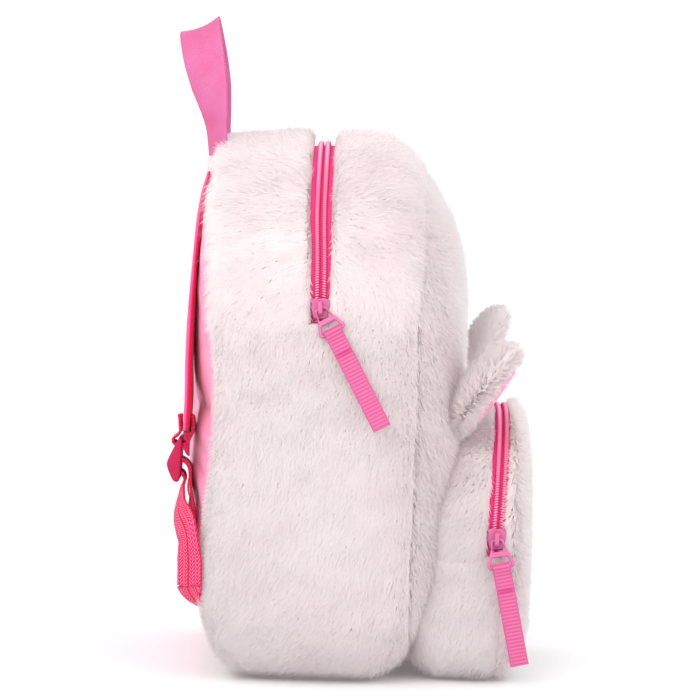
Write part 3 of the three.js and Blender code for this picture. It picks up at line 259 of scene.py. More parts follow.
def panel_y(edge_z, fill):
    rim = back_at(edge_z) + CLEAR
    return PANEL["bulge"] - (PANEL["bulge"] - rim) * fill ** PANEL["power"]


def panel_point(loop, fill):
    edge = body_point(loop, 0 * loop)
    middle = BODY["height"] / 2
    scale = fill * PANEL["inset"]
    return np.stack(
        [edge[..., 0] * scale, panel_y(edge[..., 2], fill), middle + (edge[..., 2] - middle) * scale], -1
    )


def panel_at(x, z):
    """The y of the back panel's outside over a point of the back view."""
    middle = BODY["height"] / 2
    width, low, high = (BODY_SECTIONS[name][0] for name in ("width", "low", "high"))
    inside, outside = 0.01, 1.0
    for _ in range(30):
        fill = (inside + outside) / 2
        edge_z = middle + (z - middle) / (fill * PANEL["inset"])
        half = float(arch_half(BODY, (edge_z / BODY["height"] - low) / (high - low)))
        if half >= 0 and abs(x) / (fill * PANEL["inset"]) < half * width * BODY["width"] / 2:
            outside = fill
        else:
            inside = fill
    return float(panel_y(middle + (z - middle) / (outside * PANEL["inset"]), outside))


def normals_of(surface, loop, depth, centre):
    """The outward unit normals of a surface at many places."""
    step = 1e-3
    up = np.minimum(depth + step, 1 - 1e-4)
    down = np.maximum(np.minimum(depth - step, up - step), 0)
    held = np.minimum(depth, up)
    along = surface(loop + step, held) - surface(loop - step, held)
    across = surface(loop, up) - surface(loop, down)
    normal = unit(np.cross(along, across))
    outward = surface(loop, depth) - centre
    return normal * np.where(dot(normal, outward) < 0, -1, 1)


BODY_CENTRE = np.array([0, BACK_Y - BODY_DEPTH / 2, BODY["height"] / 2])
POCKET_CENTRE = np.array([0, POCKET_FRONT_Y / 2, POCKET["height"] / 2])
BODY_ZIP_LOOP = loop_at_height(BODY, ZIP_END_Z)
POCKET_ZIP_LOOP = loop_at_height(POCKET, POCKET_ZIP_END_Z + 0.6)


# Meshes
def new_mesh(name, points, faces, material, normals=None, colours=None, coords=None):
    """faces is a list of arrays, each of faces with one number of corners."""
    mesh = bpy.data.meshes.new(name)
    points = np.asarray(points, np.float32) * MM
    faces = [np.asarray(f, np.int32) for f in (faces if isinstance(faces, list) else [faces]) if len(f)]
    corners = np.concatenate([f.ravel() for f in faces])
    sizes = np.concatenate([np.full(len(f), f.shape[1], np.int32) for f in faces])
    mesh.vertices.add(len(points))
    mesh.vertices.foreach_set("co", points.ravel())
    mesh.loops.add(len(corners))
    mesh.loops.foreach_set("vertex_index", corners)
    mesh.polygons.add(len(sizes))
    mesh.polygons.foreach_set("loop_start", np.concatenate(([0], np.cumsum(sizes)[:-1])).astype(np.int32))
    mesh.polygons.foreach_set("use_smooth", np.ones(len(sizes), bool))
    mesh.update(calc_edges=True)
    for key, values in (("tone", colours), ("weave", coords), ("custom_normal", normals)):
        if values is not None:
            layer = mesh.attributes.new(key, "FLOAT_VECTOR", "POINT")
            layer.data.foreach_set("vector", np.asarray(values, np.float32).ravel())
    mesh.materials.append(material)
    mesh.update()
    return mesh


def add_piece(mesh, nodes=()):
    piece = bpy.data.objects.new(mesh.name, mesh)
    bpy.context.scene.collection.objects.link(piece)
    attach(piece, "root")
    if nodes:
        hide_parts(*nodes)
    return piece


def grid_faces(rows, cols, ring=False, flip=False):
    """Quads of a grid of points, rows first; ring joins the last row to the first."""
    i, j = np.meshgrid(np.arange(rows if ring else rows - 1), np.arange(cols - 1), indexing="ij")
    k = (i + 1) % rows
    quads = np.stack([i * cols + j, k * cols + j, k * cols + j + 1, i * cols + j + 1], -1).reshape(-1, 4)
    return quads[:, ::-1] if flip else quads


# Materials
def new_material(name, colour, roughness, **settings):
    """A Principled material; settings are the shader's own sockets."""
    material = bpy.data.materials.new(name)
    material.use_nodes = True
    shader = material.node_tree.nodes["Principled BSDF"]
    shader.inputs["Base Color"].default_value = (*colour, 1)
    shader.inputs["Roughness"].default_value = roughness
    for socket, value in settings.items():
        shader.inputs[socket].default_value = value
    return material


def srgb(r, g, b):
    def linear(v):
        v /= 255
        return v / 12.92 if v <= 0.04045 else ((v + 0.055) / 1.055) ** 2.4

    return tuple(linear(v) for v in (r, g, b))


# How the studio light shows a colour: times this, plus a little sheen
LIGHT = 1.55
HAZE = 0.05
SHADE = 0.92  # the light that reaches a piece tucked between others, as a zip or a strap is


def seen(r, g, b, light=LIGHT):
    """The surface colour that looks like this one, given in sRGB, in the studio light."""
    return tuple(min(0.97, max(0.004, (v - HAZE) / light)) for v in srgb(r, g, b))


def shaded(r, g, b):
    return seen(r, g, b, SHADE)


def sheen(weight, roughness, *tint):
    return {"Sheen Weight": weight, "Sheen Roughness": roughness, "Sheen Tint": (*tint, 1)}


def glow(strength, *colour):
    return {"Emission Color": (*colour, 1), "Emission Strength": strength}


class Nodes:
    """Short names for the few shader nodes that the materials use."""

    def __init__(self, material):
        self.tree = material.node_tree
        self.shader = self.tree.nodes["Principled BSDF"]

    def link(self, source, target):
        self.tree.links.new(source, target)

    def add(self, kind, **inputs):
        node = self.tree.nodes.new(kind)
        for name, value in inputs.items():
            self.feed(node, name, value)
        return node

    def feed(self, node, name, value):
        socket = node.inputs[int(name[1:])] if name[0] == "_" and name[1:].isdigit() else node.inputs[name]
        if isinstance(value, bpy.types.NodeSocket):
            self.link(value, socket)
        else:
            socket.default_value = value

    def attribute(self, name):
        node = self.add("ShaderNodeAttribute")
        node.attribute_name = name
        return node.outputs["Vector"]

    def place(self):
        return self.add("ShaderNodeTexCoord").outputs["Object"]

    def split(self, vector):
        return self.add("ShaderNodeSeparateXYZ", Vector=vector).outputs

    def math(self, operation, a, b=0.0):
        node = self.add("ShaderNodeMath", _0=a, _1=b)
        node.operation = operation
        return node.outputs[0]

    def noise(self, vector, scale, detail=2.0, rough=0.5):
        node = self.add("ShaderNodeTexNoise", Vector=vector, Scale=scale, Detail=detail, Roughness=rough)
        return node.outputs["Fac"]

    def clouds(self, scale, low=0.3, high=0.7):
        """A soft mottle over the whole piece, from 0 to 1."""
        return self.span(self.noise(self.place(), scale, 3.0), low, high)

    def ramp(self, factor, *stops):
        node = self.add("ShaderNodeValToRGB", Fac=factor)
        ramp = node.color_ramp
        while len(ramp.elements) < len(stops):
            ramp.elements.new(0.5)
        for element, (at, colour) in zip(ramp.elements, stops):
            element.position = at
            element.color = (*colour, 1)
        return node.outputs["Color"]

    def span(self, value, low, high, to_low=0.0, to_high=1.0):
        node = self.add("ShaderNodeMapRange")
        self.feed(node, "Value", value)
        for name, v in (("From Min", low), ("From Max", high), ("To Min", to_low), ("To Max", to_high)):
            self.feed(node, name, v)
        return node.outputs["Result"]

    def mix(self, factor, a, b, mode="MIX"):
        node = self.tree.nodes.new("ShaderNodeMix")
        node.data_type = "RGBA"
        node.blend_type = mode
        for index, value in ((0, factor), (6, a), (7, b)):
            if isinstance(value, bpy.types.NodeSocket):
                self.link(value, node.inputs[index])
            else:
                node.inputs[index].default_value = (*value, 1) if isinstance(value, tuple) else value
        return node.outputs[2]

    def bump(self, height, distance, strength=1.0):
        node = self.add("ShaderNodeBump", Height=height, Distance=distance * MM, Strength=strength)
        self.link(node.outputs["Normal"], self.shader.inputs["Normal"])

    def let_through(self, colour, share):
        """Mixes in light that comes through from behind, as it does through thin pile."""
        through = self.add("ShaderNodeBsdfTranslucent", Color=colour)
        both = self.add("ShaderNodeMixShader", _0=share, _1=self.shader.outputs[0], _2=through.outputs[0])
        self.link(both.outputs[0], self.tree.nodes["Material Output"].inputs["Surface"])

    def colour(self, socket):
        self.link(socket, self.shader.inputs["Base Color"])

    def roughness(self, socket):
        self.link(socket, self.shader.inputs["Roughness"])


PAINTED_FUR_GLOW = 0.12  # painted glow: an emission that stands in for the light that dense white pile scatters inside itself


def fur_material():
    """The tone attribute's x runs from a strand's root to its tip, and its y differs between strands."""
    # The pile's emission is a painted glow that lightens its shade.
    material = new_material("plush_fur", srgb(250, 238, 236), 0.8, **{
        **sheen(0.35, 0.5, 1, 0.95, 0.95), **glow(PAINTED_FUR_GLOW, 1, 0.9, 0.92), "Specular IOR Level": 0.15,
    })
    n = Nodes(material)
    tone = n.split(n.attribute("tone"))
    place = n.place()
    cloud = n.noise(place, 22.0, 3.0)
    body = n.mix(n.span(cloud, 0.35, 0.7), srgb(255, 252, 252), srgb(254, 248, 249))
    # painted shade: the strands are a little darker towards their roots, deep in the pile
    shaded_roots = n.mix(n.span(cloud, 0.3, 0.7), srgb(254, 244, 243), srgb(253, 241, 240))
    mixed = n.mix(n.span(tone[0], 0.0, 0.75), shaded_roots, body)
    low = n.span(n.split(place)[2], 0.0, 0.16, 0.94, 1.0)  # painted shade: the pile is a little darker towards the bottom, where less light reaches it
    each = n.math("MULTIPLY", n.span(tone[1], 0.0, 1.0, 0.965, 1.0), low)
    grey = n.add("ShaderNodeCombineColor", _0=each, _1=each, _2=each).outputs[0]
    shade = n.mix(1.0, mixed, grey, "MULTIPLY")
    n.colour(shade)
    n.let_through(shade, 0.5)
    return material


def skin_material():
    """The dense under-fur between the strands, with a painted glow twice the pile's that lightens the shade
    in the gaps between them.
    """
    material = new_material("fur_ground", srgb(240, 220, 216), 0.95, **{
        "Sheen Weight": 0.3, **glow(2 * PAINTED_FUR_GLOW, 1, 0.88, 0.89),
    })
    n = Nodes(material)
    stretched = n.add("ShaderNodeVectorMath", _0=n.place(), _1=(1400.0, 1400.0, 420.0))
    stretched.operation = "MULTIPLY"
    fine = n.noise(stretched.outputs[0], 1.0, 3.0, 0.6)
    n.colour(n.ramp(fine, (0.25, srgb(250, 236, 237)), (0.75, srgb(255, 249, 251))))
    n.bump(fine, 0.8, 0.8)
    return material


def satin_material():
    """Smooth shiny fabric with a fine twill."""
    material = new_material("pink_satin", shaded(232, 160, 186), 0.42, **{
        **sheen(0.15, 0.35, 1, 0.7, 0.8), "Specular IOR Level": 0.12,
    })
    n = Nodes(material)
    n.colour(n.mix(n.clouds(30.0), shaded(229, 152, 180), shaded(235, 162, 190)))
    parts = n.split(n.place())
    slant = n.math("ADD", n.math("MULTIPLY", parts[2], 9000.0), n.math("MULTIPLY", parts[0], 5200.0))
    n.bump(n.math("SINE", slant), 0.05, 0.5)
    return material


def fabric_nodes(name, colour, roughness, **settings):
    """A fabric, its nodes and its weave attribute's parts: across and along in millimetres, and a third."""
    settings = {**sheen(0.12, 0.4, 1, 0.6, 0.75), "Specular IOR Level": 0.25, **settings}
    material = new_material(name, colour, roughness, **settings)
    n = Nodes(material)
    return material, n, n.split(n.attribute("weave"))


def wave(n, value, pitch):
    """A wave of this pitch in millimetres along a value, from 0 to 1."""
    sine = n.math("SINE", n.math("MULTIPLY", value, 2 * math.pi / pitch))
    return n.span(sine, -1.0, 1.0)


def herringbone_material():
    """Webbing woven in narrow columns of V shapes."""
    material, n, (across, along, _) = fabric_nodes(
        "webbing_herringbone", shaded(236, 84, 140), 0.7, **{"Sheen Weight": 0.04})
    column_wide, slope, pitch = 2.5, 1.1, 1.9
    folded = n.math("PINGPONG", n.math("ADD", across, 16 * column_wide), column_wide)
    ribs = wave(n, n.math("ADD", along, n.math("MULTIPLY", folded, slope)), pitch)
    aside = n.math("ABSOLUTE", n.math("SUBTRACT", folded, column_wide / 2))
    columns = n.span(aside, 0.7, column_wide / 2, 1.0, 0.3)
    groove = n.span(n.math("ABSOLUTE", across), 0.3, 1.0)
    height = n.math("MULTIPLY", n.math("MULTIPLY", ribs, columns), groove)
    # painted shade in the weave's grooves and its middle groove, and a painted highlight on its ribs: the
    # colour follows the weave's height
    n.colour(n.ramp(height, (0.0, shaded(192, 10, 64)), (0.4, shaded(228, 46, 108)),
                    (0.95, shaded(252, 140, 186))))
    n.bump(height, 0.45, 0.9)
    return material


def flat_weave_material():
    """Flat webbing in a plain basket weave."""
    material, n, (across, along, _) = fabric_nodes("webbing_flat", seen(253, 138, 189), 0.65)
    rows = n.math("SINE", n.math("MULTIPLY", along, 2 * math.pi / 1.3))
    lines = n.math("SINE", n.math("MULTIPLY", across, 2 * math.pi / 1.5))
    check = n.span(n.math("MULTIPLY", rows, lines), -1.0, 1.0)
    tint = n.mix(n.clouds(45.0, 0.35, 0.65), seen(252, 130, 182), seen(254, 148, 202))
    n.colour(n.mix(n.span(check, 0.0, 0.5, 0.35, 0.0), tint, seen(240, 96, 156)))
    n.bump(check, 0.22, 0.8)
    return material


def grosgrain_material():
    """Ribbed ribbon; its ribs are in the mesh, and weave.z is a rib's height from 0 to 1."""
    material, n, (across, _, rib) = fabric_nodes("ribbon_grosgrain", seen(247, 130, 178), 0.6)
    # painted shade in the grooves between the ribs and a painted highlight on their crests
    n.colour(n.ramp(rib, (0.05, seen(212, 58, 118)), (0.35, seen(244, 116, 168)),
                    (1.0, seen(253, 142, 190))))
    n.bump(wave(n, across, 0.55), 0.08, 0.7)
    return material


def pad_material():
    """Smooth woven strap fabric; its inner face, towards the panel, is painted darker and redder than its
    outer face, as painted shade and painted pink reflected light.
    """
    material, n, (across, along, out) = fabric_nodes("strap_fabric", shaded(240, 90, 140), 0.6)
    cloud = n.clouds(60.0)
    face = n.mix(cloud, shaded(240, 92, 140), shaded(247, 108, 156))
    # painted shade and painted pink reflected light on the strap's inner face, which faces the panel
    painted_shade_lining = n.mix(cloud, shaded(214, 50, 84), shaded(226, 62, 96))
    n.colour(n.mix(n.span(out, 0.45, 0.6), painted_shade_lining, face))
    check = n.math("MULTIPLY", wave(n, across, 0.9), wave(n, along, 0.9))
    n.bump(check, 0.12, 0.6)
    return material


def tape_material():
    material, n, (across, along, _) = fabric_nodes("zip_tape", shaded(240, 80, 136), 0.75)
    twill = wave(n, n.math("ADD", along, n.math("ABSOLUTE", across)), 1.0)
    n.colour(n.mix(twill, shaded(234, 70, 128), shaded(247, 104, 156)))
    n.bump(twill, 0.15, 0.7)
    return material


def gloss_material(name, colour, roughness, grain, **settings):
    """Moulded plastic or enamel: a faint mottle, with a fine grain in its shine and surface."""
    material = new_material(name, colour, roughness, **{"Specular IOR Level": 0.5, **settings})
    n = Nodes(material)
    darker = tuple(0.86 * c for c in colour)
    n.colour(n.mix(n.clouds(260.0), darker, colour))
    fine = n.noise(n.place(), 2600.0, 2.0)
    n.roughness(n.span(fine, 0.3, 0.7, roughness - 0.05, roughness + 0.1))
    n.bump(fine, grain, 0.4)
    return material


def coil_material():
    """Nylon coils, painted darker where they turn down to the tape as painted shade and lighter on their
    crowns as a painted highlight; weave.z is the height from 0 to 1.
    """
    material = new_material("nylon_coil", shaded(250, 130, 176), 0.35, **{"Specular IOR Level": 0.4})
    n = Nodes(material)
    height = n.split(n.attribute("weave"))[2]
    # painted shade low on the coils and a painted highlight on their crowns
    n.colour(n.ramp(height, (0.3, shaded(222, 46, 104)), (0.7, shaded(250, 124, 170)),
                    (1.0, shaded(255, 186, 216))))
    n.bump(n.noise(n.place(), 2600.0, 2.0), 0.02, 0.3)
    return material


FUR = fur_material()
SATIN = satin_material()
HERRINGBONE = herringbone_material()
FLAT_WEAVE = flat_weave_material()
GROSGRAIN = grosgrain_material()
PAD_FABRIC = pad_material()
TAPE = tape_material()
NYLON = coil_material()
ENAMEL = gloss_material("slider_enamel", seen(250, 124, 182), 0.35, 0.015,
                        **{"Coat Weight": 0.3, "Coat Roughness": 0.25})
PLASTIC = gloss_material("buckle_plastic", seen(230, 62, 108), 0.42, 0.04, **{"Specular IOR Level": 0.28})
GROUND = skin_material()


# Fur: a ground skin a little below the surface, and tapered strands combed over it
GROUND_DEPTH = 3.3  # of the skin under the fur's outer surface
PILE = 6.2  # length of a strand
STRAND_WIDTH = 0.55
LEAN = 0.92  # mean angle of a strand from the surface's normal, in radians
TUFT = 14  # strands that share a tuft
GATHER = (0.05, 0.24)  # how far, in shares, their tips draw together
FLOOR_GAP = 0.2
VARIES = {"lean": 0.12, "length": 0.14, "roll": 0.9, "width": (0.7, 1.2)}  # from strand to strand
MOST_LEAN = 1.45
STRAY = ((0.16, 40, 11), (0.1, 11, 12))  # of the comb: an amount, its features' size in millimetres, a seed
STRAY_EACH = 0.26  # of each strand from its neighbours

# How the fur meets an edge: its skin's dip and the reach of that, and how far the pile leans from it
EDGES = {
    "none": {"dip": 0.0, "reach": 4.0, "push": 0.0, "trim": 1.0},
    "join": {"dip": 0.3, "reach": 2.5, "push": 0.0, "trim": 1.0},
    "seam": {"dip": 1.0, "reach": 3.0, "push": 0.2, "trim": 0.95},
    "zip": {"dip": WALL - GROUND_DEPTH, "reach": 2.0, "push": -0.45, "trim": 0.9},
    "pocket_zip": {"dip": POCKET_WALL - GROUND_DEPTH, "reach": 2.0, "push": -0.4, "trim": 0.85},
    "fringe": {"dip": 2.2, "reach": 4.0, "push": -0.55, "trim": 1.0},
    "crest": {"dip": 0.5, "reach": 4.0, "push": -1.0, "trim": 1.6},
}
LEAN_REACH = 2.2  # how many times further the pile leans than the skin dips
CLOSER = 0.06  # how much closer together a panel's columns stand near its edges


class FurPatch:
    """One sewn panel of fur. edges names what is at its first and last depth and first and last loop."""

    def __init__(self, surface, centre, loops, start, stop, cols, edges):
        share = np.linspace(0, 1, cols)
        share = share - CLOSER * np.sin(2 * math.pi * share)
        depth = start[:, None] * (1 - share) + stop[:, None] * share
        loop = np.repeat(loops[:, None], cols, 1)
        self.points = surface(loop, depth)
        self.normals = normals_of(surface, loop, depth, centre)
        self.shape_edges(edges)

    def shape_edges(self, edges):
        points = self.points
        across = np.linalg.norm(np.diff(points, axis=1), axis=-1)
        along = np.linalg.norm(np.diff(points, axis=0), axis=-1)
        first = np.concatenate([np.zeros((len(points), 1)), np.cumsum(across, 1)], 1)
        begin = np.concatenate([np.zeros((1, points.shape[1])), np.cumsum(along, 0)], 0)
        inward = unit(np.gradient(points, axis=1))
        onward = unit(np.gradient(points, axis=0))
        sides = [
            (first, inward, edges[0]),
            (first[:, -1:] - first, -inward, edges[1]),
            (begin, onward, edges[2]),
            (begin[-1:] - begin, -onward, edges[3]),
        ]
        self.dip = np.full(points.shape[:2], GROUND_DEPTH)
        self.push = np.zeros(points.shape)
        self.trim = np.ones(points.shape[:2])
        for far, away, name in sides:
            edge = EDGES[name]
            near = 1 - smooth(far / edge["reach"])
            wide = 1 - smooth(far / (LEAN_REACH * edge["reach"]))
            self.dip = np.maximum(self.dip, GROUND_DEPTH + edge["dip"] * near)
            self.push += away * (edge["push"] * wide)[..., None]
            self.trim *= 1 + (edge["trim"] - 1) * wide

    def skin(self):
        return self.points - self.normals * self.dip[..., None]


def scatter(patch, density, rng, weight=None):
    """Random places on a patch: their cell, and where they lie in it."""
    skin = patch.skin()
    a, b, c, d = skin[:-1, :-1], skin[1:, :-1], skin[1:, 1:], skin[:-1, 1:]
    area = 0.5 * np.linalg.norm(np.cross(c - a, d - b), axis=-1)
    if weight is not None:
        area = area * weight(0.25 * (a + b + c + d))
    total = np.concatenate(([0], np.cumsum(area.ravel())))
    count = int(total[-1] * density)
    spots = (np.arange(count) + rng.random(count)) * total[-1] / count
    cell = np.clip(np.searchsorted(total, spots, side="right") - 1, 0, area.size - 1)
    return np.stack(np.unravel_index(cell, area.shape), -1), rng.random((count, 2))


def blend(field, cell, where):
    i, j = cell[:, 0], cell[:, 1]
    u, v = where[:, 0], where[:, 1]
    if field.ndim == 3:
        u, v = u[:, None], v[:, None]
    return (
        field[i, j] * (1 - u) * (1 - v)
        + field[i + 1, j] * u * (1 - v)
        + field[i + 1, j + 1] * u * v
        + field[i, j + 1] * (1 - u) * v
    )


def grow(patch, density, seed, comb, weight=None, pile=PILE, width=STRAND_WIDTH, lean=LEAN, tuft=GATHER):
    """Strands on a patch: points, normals and tones of their triangles."""
    rng = np.random.default_rng(seed)
    cell, where = scatter(patch, density, rng, weight)
    count = len(cell)
    root = blend(patch.skin(), cell, where)
    normal = unit(blend(patch.normals, cell, where))
    push = blend(patch.push, cell, where)
    trim = blend(patch.trim, cell, where)
    lie = comb(root)
    lie = unit(lie - normal * dot(lie, normal))
    for amount, size, drift_seed in STRAY:
        lie = lie + amount * drift(root, size, drift_seed)
    lie = lie + push + STRAY_EACH * rng.normal(size=(count, 3))
    lie = lie - normal * dot(lie, normal)
    strength = np.clip(np.linalg.norm(lie, axis=-1), 0.2, 1.25)
    lean = np.minimum(lean * strength * rng.normal(1, VARIES["lean"], count), MOST_LEAN)
    along = normal * np.cos(lean)[:, None] + unit(lie) * np.sin(lean)[:, None]
    length = pile * trim * np.clip(rng.normal(1, VARIES["length"], count), 0.55, 1.4)
    tip = root + along * length[:, None]

    # Strands gather towards the tip of the nearest leading strand
    leaders = rng.permutation(count)[: max(1, count // TUFT)]
    tree = KDTree(len(leaders))
    for k, leader in enumerate(leaders):
        tree.insert(root[leader], k)
    tree.balance()
    nearest = leaders[[tree.find(p)[1] for p in root]]
    gather = rng.uniform(*tuft, count)[:, None]
    tip = tip * (1 - gather) + (tip[nearest] + 0.35 * (root - root[nearest])) * gather
    along = unit(tip - root)

    side = unit(np.cross(normal, along))
    face = np.cross(side, along)
    roll = rng.uniform(-VARIES["roll"], VARIES["roll"], count)[:, None]
    side = side * np.cos(roll) + face * np.sin(roll)
    face = np.cross(side, along)
    flip = dot(face, normal) < 0
    side, face = np.where(flip, -side, side), np.where(flip, -face, face)
    half = side * (width * rng.uniform(*VARIES["width"], count) / 2)[:, None]
    points = np.stack([root - half, root + half, tip], 1).reshape(-1, 3)
    points[:, 2] = np.maximum(points[:, 2], FLOOR_GAP)
    rooted = unit(normal + face * 0.2)
    tipped = unit(normal + face * 0.2 + along * 0.15)
    normals = np.stack([rooted, rooted, tipped], 1).reshape(-1, 3)
    each = np.repeat(rng.random(count), 3)
    tones = np.stack([np.tile([0, 0, 1], count), each, 0 * each], 1)
    return points, normals, tones


COMB = (-0.45, 0.3, -0.8)  # down, a little back, and over the top towards the wearer's left
TOP_COMB = {"across": -0.25, "along": 0.8, "down": -0.45, "from": 190, "over": 45, "lean": 1.1}


def down(points):
    """The fur's usual comb."""
    return np.broadcast_to(np.array(COMB), points.shape)


def over_top(forward):
    """A comb that turns from down on the side to mostly forward or back on the top's shoulders."""
    along = np.array([TOP_COMB["across"], -TOP_COMB["along"] * forward, TOP_COMB["down"]])

    def comb(points):
        turn = smooth((points[:, 2:] - TOP_COMB["from"]) / TOP_COMB["over"])
        return down(points) * (1 - turn) + along * turn

    return comb


def fur_piece(name, patch, density, seed, nodes, comb=down, weight=None, **kwargs):
    skin = patch.skin()
    rows, cols = skin.shape[:2]
    points, normals, tones = grow(patch, density, seed, comb, weight, **kwargs)
    faces = grid_faces(rows, cols)
    base = rows * cols
    strands = np.arange(len(points), dtype=np.int32).reshape(-1, 3)
    ground = skin.reshape(-1, 3)
    mesh = new_mesh(
        name,
        np.concatenate([ground, points]),
        [faces, strands + base],
        GROUND,
        normals=np.concatenate([patch.normals.reshape(-1, 3), normals]),
        colours=np.concatenate([np.tile([0.35, 0.5, 0], (base, 1)), tones]),
    )
    mesh.materials.append(FUR)
    kinds = np.zeros(len(faces) + len(strands), np.int32)
    kinds[len(faces):] = 1
    mesh.polygons.foreach_set("material_index", kinds)
    piece = add_piece(mesh, nodes)
    print(name, "strands", len(strands), "triangles", len(strands) + 2 * len(faces))
    return piece


def full(value, like):
    return np.full(len(like), float(value))


BODY_SLOT = ZIP["slot"] / BODY_DEPTH
SEAM_GAP = 0.6 * CLEAR / BODY_DEPTH
FRINGE = 8  # the width of the denser pile along the back seam
UNDER_LOOP = 1.3  # where the side's pile starts, a little over the corner
NEAR_MIDDLE = 0.9995  # a front panel's last ring, just short of the point in its middle
COVERED = {"half": 64, "low": 14, "high": 116}  # the body's front behind the pocket
# Strands for each square millimetre
DENSITY = {"top": 5.0, "left": 5.0, "right": 3.2, "under": 1.6, "front": 3.5, "pocket": 4.8,
           "pocket_front": 4.0, "ear": 7.5}


def body_patch(loops, start, stop, cols, *edges):
    return FurPatch(body_point, BODY_CENTRE, loops, full(start, loops), full(stop, loops), cols, edges)


def pocket_patch(loops, start, stop, cols, *edges):
    return FurPatch(pocket_point, POCKET_CENTRE, loops, start, stop, cols, edges)


def dress_body():
    stop = FRONT_SEAM - SEAM_GAP
    seen_side = lambda p: 0.6 + 0.4 * (p[..., 0] < 20)
    fringed = lambda p: 1 + 0.8 * (p[..., 1] > BACK_Y - FRINGE)
    hidden = lambda p: 1 - 0.9 * (
        (np.abs(p[..., 0]) < COVERED["half"]) & (p[..., 2] > COVERED["low"]) & (p[..., 2] < COVERED["high"]))
    top = np.linspace(BODY_ZIP_LOOP, 8 - BODY_ZIP_LOOP, 150)
    rear = body_patch(top, 0, ZIP_DEPTH - BODY_SLOT, 24, "crest", "zip", "join", "join")
    front = body_patch(top, ZIP_DEPTH + BODY_SLOT, stop, 24, "zip", "seam", "join", "join")
    for seed, side, forward, patch in ((1, "rear", -1, rear), (2, "front", 1, front)):
        fur_piece("fur_top_" + side, patch, DENSITY["top"], seed, ["gusset_top_" + side], over_top(forward),
                  seen_side, lean=TOP_COMB["lean"])
    loops = np.linspace(UNDER_LOOP, BODY_ZIP_LOOP, 70)
    left = body_patch(loops, 0, stop, 50, "fringe", "seam", "none", "join")
    fur_piece("fur_side_left", left, DENSITY["left"], 3, ["gusset_lower"], weight=fringed)
    loops = np.linspace(8 - BODY_ZIP_LOOP, 8 - UNDER_LOOP, 60)
    right = body_patch(loops, 0, stop, 50, "fringe", "seam", "join", "none")
    fur_piece("fur_side_right", right, DENSITY["right"], 4, [], weight=fringed)
    loops = np.linspace(-UNDER_LOOP, UNDER_LOOP, 70)
    under = body_patch(loops, 0, stop, 44, "fringe", "seam", "none", "none")
    fur_piece("fur_underside", under, DENSITY["under"], 5, [])
    loops = np.linspace(0, 8, 190)
    face = body_patch(loops, FRONT_SEAM + SEAM_GAP, NEAR_MIDDLE, 40, "seam", "none", "none", "none")
    fur_piece("fur_front", face, DENSITY["front"], 6, ["front_panel"], weight=hidden)


def dress_pocket():
    def share(loops, mm):
        return mm / (pocket_seam(loops) - POCKET_FRONT_Y)

    top = np.linspace(POCKET_ZIP_LOOP, 8 - POCKET_ZIP_LOOP, 130)
    edge = pocket_zip_depth(top) - share(top, ZIP["slot"])
    patch = pocket_patch(top, full(0, top), edge, 18, "seam", "pocket_zip", "seam", "seam")
    fur_piece("fur_pocket_top", patch, DENSITY["pocket"], 7, ["pocket_gusset_top"])
    low = np.linspace(-POCKET_ZIP_LOOP, POCKET_ZIP_LOOP, 120)
    edge = pocket_zip_depth(low) + share(low, ZIP["slot"] - CLEAR)
    patch = pocket_patch(low, full(0, low), edge, 24, "seam", "seam", "seam", "seam")
    light = lambda p: 0.35 + 0.65 * (p[..., 2] > 12)
    fur_piece("fur_pocket_lower", patch, DENSITY["pocket"], 8, ["pocket_gusset_lower"], weight=light)
    loops = np.linspace(0, 8, 170)
    start = pocket_zip_depth(loops) + share(loops, ZIP["slot"])
    patch = pocket_patch(loops, start, full(NEAR_MIDDLE, loops), 36, "pocket_zip", "none", "none", "none")
    fur_piece("fur_pocket_front", patch, DENSITY["pocket_front"], 9, ["pocket_front"])


# Ears: stuffed fur lobes on the pocket's top, each with a satin pad on its inner face
EAR = {"length": 68.0, "width": 42.0, "thick": 20.0, "front": 0.4, "inner": 24.0}
EAR_SEAT = {"across": 0.568, "below": 14.0, "behind": 6.5}
EAR_GROUND = 3.0  # of an ear's skin under its outer surface
EAR_FUR = {"pile": 6.6, "lean": 0.62, "tuft": (0.4, 0.75)}
EAR_BARE = 1.2  # how far the fur reaches over the pad's edge
EAR_PAD = {"first": 0.19, "last": 0.84, "steep": 6, "sunk": 1.8, "rise": 3.3, "round": 2.2}
EARS = {
    "left": {"side": -1, "forward": 33, "splay": 37, "turn": 27},
    "right": {"side": 1, "forward": 26, "splay": 8, "turn": 10},
}
EAR_SECTIONS = tuple_rows("along width thick inner", [
    (-0.2, 0.6, 0.9, 0), (0, 0.68, 0.95, 0), (0.16, 0.82, 1, 0.45), (0.34, 0.97, 1, 0.95),
    (0.52, 1, 0.97, 1), (0.7, 0.9, 0.9, 0.82), (0.84, 0.68, 0.76, 0.35),
    (0.94, 0.4, 0.55, 0), (1, 0.03, 0.05, 0),
])


